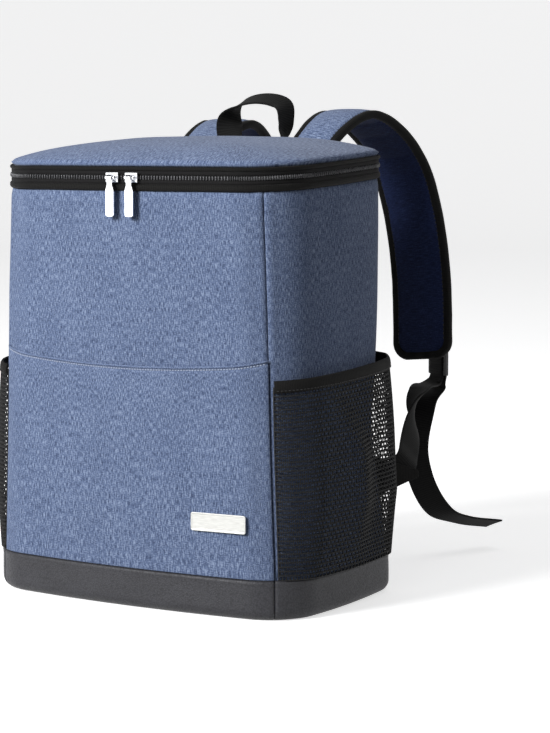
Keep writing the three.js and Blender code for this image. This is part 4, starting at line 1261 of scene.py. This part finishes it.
for word, side in SIDES:
    mesh = bmesh.new()
    middle = Vector((BUCKLE_X * side, BUCKLE_Y, BUCKLE_Z))
    placed = Matrix.Scale(MM, 4) @ Matrix.Translation(middle) @ Matrix.Rotation(turn * side, 4, "Z")
    for way in (-1, 1):
        centre = Vector((way * (BUCKLE_WIDTH - BUCKLE_RIM) / 2, 0, 0))
        beam(mesh, centre, (BUCKLE_RIM, BUCKLE_THICK, BUCKLE_HEIGHT), placed)
    pitch = (BUCKLE_HEIGHT - BUCKLE_RIM) / 3
    for i in range(4):
        centre = Vector((0, 0.4 * (i % 2), -BUCKLE_HEIGHT / 2 + BUCKLE_RIM / 2 + i * pitch))
        beam(mesh, centre, (BUCKLE_WIDTH - BUCKLE_RIM, BUCKLE_THICK * 0.85, BUCKLE_RIM), placed)
    crisp(finished(f"ladder_buckle_{word}", mesh, ACETAL, stands_for=[f"buckle_{word}"]))

# %% [markdown]
# ## The webbing at the strap's end
# Three lengths: a short one sewn on the strap's outer face that carries the buckle, the lower
# webbing that twists on its way from the buckle to the bag, and the free end that hangs from
# the buckle, turns and lies out behind. A cloth gusset in the rear seam takes the lower one.

# %% The webbing's routes
BUCKLE_LOOP, WEBBING_LIFT, WEBBING_SIDE = 64, 15, 7
TAIL_REACH, TAIL_DROP, TAIL_SPREAD = 62, 155, 32
GUSSET_LOW, GUSSET_HIGH, GUSSET_REACH, GUSSET_TURN = 83, 122, 46, 55
GUSSET_BLUNT, GUSSET_CLOTH, GUSSET_STAND = 6, 2, 0.9
WEBBING_SHARES = ((0.28, 0.8, 0.9), (0.46, 1, 0.7), (0.64, 0.6, 0), (0.82, 0.35, -0.6))
TAIL_SHARES = (
    (-0.12, -0.33, 0.16), (-0.2, -0.54, 0.34), (-0.22, -0.56, 0.5), (-0.1, -0.36, 0.72),
    (0.12, -0.02, 0.88), (0.5, 0.39, 0.95), (1, 1, 1),
)
buckle_middle = Vector((BUCKLE_X, BUCKLE_Y, BUCKLE_Z))
layer = (WEBBING_CLOTH + GAP) / 2


def near_buckle(drop, outwards):
    """A place below the buckle, or above it where drop is less than 0."""
    point = buckle_middle + buckle_out * outwards
    point.z = BUCKLE_Z - math.copysign(BUCKLE_HEIGHT / 2 + GAP, drop) - drop
    return point


def at_buckle(outwards, up):
    """A place at a height over the buckle's middle."""
    return buckle_middle + buckle_out * outwards + Vector((0, 0, up))


# How the two lengths wrap the buckle's bars: mm off its middle plane and over its middle.
LOOP_WRAP = ((2.4, 15.5), (2.9, 11.5), (1.9, 9.2), (0, 8.6), (-1.9, 9.2), (-2.9, 12), (-2.6, 16))
TAIL_WRAP = (
    (-1.4, -14.2), (-2.8, -11), (-2.9, -4), (-2.8, 3), (-1.7, 6),
    (0, 6.7), (1.7, 6), (2.8, 3), (2.9, -4), (2.7, -11),
)
SEWN_SHARES = (1, 0.88, 0.76, 0.64, 0.56)


def faded(a, b, low, high):
    """A direction that goes over from a to b between two shares of a length."""
    return lambda t: a.lerp(b, smoothstep(t, low, high))


# %% The buckle's webbing
for word, side in SIDES:
    line = strap_lines[word]
    h = -(STRAP_THICKNESS / 2 + 2 * GAP + WEBBING_CLOTH / 2)
    on_strap = [strap_point(line, line.length - BUCKLE_LOOP * share, 0, h) for share in SEWN_SHARES]
    points = [*on_strap, near_buckle(-5, 0), *(at_buckle(out, up) for out, up in LOOP_WRAP)]
    ribbon(
        f"buckle_webbing_{word}", points, faded(Vector((1, 0, 0)), buckle_across, 0.5, 0.68),
        [f"buckle_loop_{word}"], steps=70, mirrored=side < 0,
    )

# %% The gussets
gusset_way = Vector((math.cos(math.radians(GUSSET_TURN)), math.sin(math.radians(GUSSET_TURN)), 0))
gusset_face = Vector((-gusset_way.y, gusset_way.x, 0))
gusset_foot = body_point(REAR_SEAM, GUSSET_LOW, GUSSET_STAND)


def gusset_point(a, z, h):
    """A place on the gusset: a along it, z high, h off its middle plane."""
    point = gusset_foot + gusset_way * a + gusset_face * h
    point.z = z
    return point


def gusset_place(u, v):
    tip = (GUSSET_LOW + GUSSET_HIGH) / 2
    low = lerp(GUSSET_LOW, tip - GUSSET_BLUNT / 2, u)
    high = lerp(GUSSET_HIGH, tip + GUSSET_BLUNT / 2, u)
    belly = 0.5 * math.sin(math.pi * u) * math.sin(math.pi * v)
    return gusset_point(u * GUSSET_REACH, lerp(low, high, v), belly)


for word, side in SIDES:
    mesh = grid(16, 12, (GUSSET_REACH, GUSSET_HIGH - GUSSET_LOW), gusset_place, mirrored=side < 0)
    gusset = finished(f"seam_gusset_{word}", mesh, TAPE, stands_for=[f"gusset_{word}"])
    thicken(gusset, GUSSET_CLOTH - 0.2, offset=0, round_mm=0.5)

# %% The lower webbing and the free ends
start = near_buckle(GAP, -layer)
stand = GUSSET_CLOTH / 2 + 2 * GAP + WEBBING_CLOTH / 2
sewn_on = gusset_point(GUSSET_REACH * 0.56, GUSSET_LOW + 22, stand)
lead = gusset_point(GUSSET_REACH * 0.76, GUSSET_LOW + 31, stand + 3 * GAP)
bow = [
    start.lerp(sewn_on, share) + Vector((-side_share * WEBBING_SIDE, 0, lift * WEBBING_LIFT))
    for share, lift, side_share in WEBBING_SHARES
]
lower_points = [start, near_buckle(4, -layer - 1.5), near_buckle(7.5, -layer - 7), *bow, lead, sewn_on]
sewn_across = gusset_face.cross((sewn_on - lead).normalized())

tail_points = [at_buckle(out, up) for out, up in TAIL_WRAP]
tail_points += [near_buckle(6, layer), near_buckle(12, layer - 1)]
for spread, reach, drop in TAIL_SHARES:
    shift = Vector((spread * TAIL_SPREAD, reach * TAIL_REACH, -drop * TAIL_DROP))
    tail_points.append(near_buckle(0.01, layer) + shift)

# The share of the whole length that is wrapped round the bars.
WRAPPED = smooth_line(tail_points[: len(TAIL_WRAP)]).length / smooth_line(tail_points).length


def tail_across(t):
    hung = clamp((t - WRAPPED) / (1 - WRAPPED))
    hanging = buckle_across.lerp(Vector((0.85, 0.52, 0)), smoothstep(hung, 0.05, 0.3))
    return hanging.lerp(Vector((0.8, -0.46, 0.4)), smoothstep(hung, 0.62, 0.9))


for word, side in SIDES:
    lower = ribbon(
        f"lower_webbing_{word}", lower_points, faded(buckle_across, sewn_across, 0.28, 0.78),
        [f"strap_webbing_{word}"], steps=110, mirrored=side < 0,
    )
    tail = ribbon(
        f"free_end_{word}", tail_points, tail_across, [f"webbing_tail_{word}"], steps=160, mirrored=side < 0
    )
print("lower webbing", round(lower.length), "mm, free end", round(tail.length), "mm")

# %% [markdown]
# ## Sliders and pull tabs
# Each slider is die-cast: a body with a waist over the coil, and a bridge that holds the tab.
# The tab hangs from the bridge by an eye and widens below a neck. Both are rounded a little
# everywhere, because polished metal shows its edges as bright lines.

# %% Sliders and pull tabs
SLIDER_LONG, SLIDER_HIGH, SLIDER_PLATE, BAR, PULL_X = 13, 8.6, 1.6, 1.6, 10.2
PULL_WIDTH, NECK, NECK_LONG, PULL_LONG, PULL_THICK, RING = 8.6, 5.4, 9, 34, 1.6, 5
TEETH_FRONT = body_point(0, TEETH[0], 1.2).y
plate_front = TEETH_FRONT - GAP - SLIDER_PLATE
bar_y, bar_z = plate_front - RING / 2 - GAP, (TEETH[0] + TEETH[1]) / 2


def slider_mesh(x):
    """The body, its two posts and the bar between them."""
    mesh = bmesh.new()
    placed = Matrix.Scale(MM, 4) @ Matrix.Translation(Vector((x, 0, bar_z)))
    body_middle, size = plate_front + SLIDER_PLATE / 2, (SLIDER_LONG, SLIDER_PLATE, SLIDER_HIGH)
    beam(mesh, Vector((0, body_middle, 0)), size, placed)
    beam(mesh, Vector((0, plate_front - 0.3, 0)), (SLIDER_LONG * 0.62, 1.2, SLIDER_HIGH * 0.62), placed)
    beam(mesh, Vector((0, bar_y, 0)), (NECK + 4.8, BAR, BAR), placed)
    for way in (-1, 1):
        deep = plate_front - bar_y + BAR / 2
        centre = Vector((way * (NECK / 2 + 1.4), plate_front - deep / 2 + 0.2, 0))
        beam(mesh, centre, (2, deep, BAR + 1.4), placed)
    return mesh


def pull_mesh(x):
    """The eye round the bar and the tab below it."""
    mesh = bmesh.new()
    # The eye is a ring spun round the bar's axis.
    bore = BAR / math.sqrt(2) + GAP
    ring = ((-NECK / 2, bore), (NECK / 2, bore), (NECK / 2, RING / 2), (-NECK / 2, RING / 2))
    section_verts = [mesh.verts.new((px, 0, pz)) for px, pz in ring]
    edges = [mesh.edges.new((a, b)) for a, b in zip(section_verts, section_verts[1:] + section_verts[:1])]
    bmesh.ops.spin(
        mesh, geom=section_verts + edges, cent=(0, 0, 0), axis=(1, 0, 0), angle=2 * math.pi, steps=20,
        use_merge=True, use_duplicate=False,
    )
    top = -RING / 2 + 0.3
    corners = [
        (-NECK / 2, top), (-NECK / 2, top - NECK_LONG / 2), (-PULL_WIDTH / 2, top - NECK_LONG),
        (-PULL_WIDTH / 2, -PULL_LONG), (PULL_WIDTH / 2, -PULL_LONG), (PULL_WIDTH / 2, top - NECK_LONG),
        (NECK / 2, top - NECK_LONG / 2), (NECK / 2, top),
    ]
    face = mesh.faces.new([mesh.verts.new((px, -PULL_THICK / 2, pz)) for px, pz in corners])
    low = [v for v in face.verts if v.co.z < -PULL_LONG + 1]
    bmesh.ops.bevel(mesh, geom=low, offset=2, segments=4, profile=0.5, affect="VERTICES", material=-1)
    tab = max(mesh.faces, key=lambda f: f.calc_area())
    raised = bmesh.ops.extrude_face_region(mesh, geom=[tab])
    lifted = [g for g in raised["geom"] if isinstance(g, bmesh.types.BMVert)]
    bmesh.ops.translate(mesh, vec=(0, PULL_THICK, 0), verts=lifted)
    bmesh.ops.recalc_face_normals(mesh, faces=mesh.faces)
    # A shallow panel is pressed into the tab's two faces.
    for face in [f for f in mesh.faces if abs(f.normal.y) > 0.9 and f.calc_area() > 100]:
        bmesh.ops.inset_region(mesh, faces=[face], thickness=1.1, depth=0)
        bmesh.ops.inset_region(mesh, faces=[face], thickness=0.3, depth=-0.25)
    place = Matrix.Scale(MM, 4) @ Matrix.Translation(Vector((x, bar_y, bar_z)))
    bmesh.ops.transform(mesh, matrix=place, verts=mesh.verts)
    return mesh


for word, side in SIDES:
    x = side * PULL_X
    crisp(finished(f"slider_{word}", slider_mesh(x), NICKEL, stands_for=[f"zip_slider_{word}"]))
    tab = finished(
        f"tab_{word}", pull_mesh(x), NICKEL, body=f"pull_{word}", stands_for=[f"pull_tab_{word}"]
    )
    crisp(tab, round_mm=0.3)

# %% [markdown]
# ## Floor and light
# The bag stands on white paper that curves up all round it and is lit by itself, as in a product
# studio. One large soft light stands high at the front left. Black cards keep the paper's light
# off the bag's shaded side in a studio. Here the paper is simply left out of diffuse bounces, so
# that the right side falls off to about a third of the front, while metal still mirrors white.

# %% The floor
FLOOR_RADIUS, CURVE, WALL_HIGH = 6.0, 1.6, 6.0


def backdrop():
    """White paper as a wide bowl: a flat floor that curves up to a wall all round."""
    mesh = bmesh.new()
    arc = [math.pi / 2 * i / 16 for i in range(17)]
    profile = [(0, 0), (1.5, 0), (3, 0)]
    profile += [(FLOOR_RADIUS + CURVE * math.sin(a), CURVE * (1 - math.cos(a))) for a in arc]
    profile.append((FLOOR_RADIUS + CURVE, WALL_HIGH))
    verts = [mesh.verts.new((x, 0, z)) for x, z in profile]
    edges = [mesh.edges.new(pair) for pair in zip(verts, verts[1:])]
    bmesh.ops.spin(mesh, geom=verts + edges, cent=(0, 0, 0), axis=(0, 0, 1), angle=2 * math.pi, steps=72)
    bmesh.ops.remove_doubles(mesh, verts=mesh.verts, dist=1e-4)
    bmesh.ops.recalc_face_normals(mesh, faces=mesh.faces)
    return mesh


paper, paper_tree, paper_shader = new_material("studio_paper_white", roughness=0.9)
paper_shader.inputs["Base Color"].default_value = linear("#f6f6f6")
paper_shader.inputs["Emission Color"].default_value = linear("#ffffff")
paper_shader.inputs["Emission Strength"].default_value = 0.62
floor_data = bpy.data.meshes.new("studio_floor")
floor_mesh = backdrop()
floor_mesh.to_mesh(floor_data)
floor_mesh.free()
floor = bpy.data.objects.new("studio_floor", floor_data)
floor_data.materials.append(paper)
for polygon in floor_data.polygons:
    polygon.use_smooth = True
bpy.context.scene.collection.objects.link(floor)
floor.visible_diffuse = False


# %% The light
def soft_light(name, place, target, size, power):
    light = bpy.data.lights.new(name, "AREA")
    light.shape = "DISK"
    light.size = size
    light.energy = power
    made = bpy.data.objects.new(name, light)
    bpy.context.scene.collection.objects.link(made)
    made.location = place
    made.rotation_mode = "QUATERNION"
    made.rotation_quaternion = (Vector(target) - Vector(place)).to_track_quat("-Z", "Y")
    return made


soft_light("key", (-1.1, -2.9, 1.9), (0, 0, 0.2), 1.5, 155)
soft_light("fill", (2.8, -0.6, 1.2), (0.1, 0, 0.2), 1.6, 7)
soft_light("top", (0.2, 0.6, 3.0), (0, 0.1, 0.2), 1.6, 8)
# The metal tabs face this one, which they mirror as a clear white.
soft_light("card", (-1.8, -2.6, 0.45), (0, 0, 0.35), 1.2, 7)
world = bpy.data.worlds.new("studio")
bpy.context.scene.world = world
world.use_nodes = True
world.node_tree.nodes["Background"].inputs["Color"].default_value = linear("#fbfcff")
world.node_tree.nodes["Background"].inputs["Strength"].default_value = 0.15
bpy.context.scene.view_settings.view_transform = "Standard"
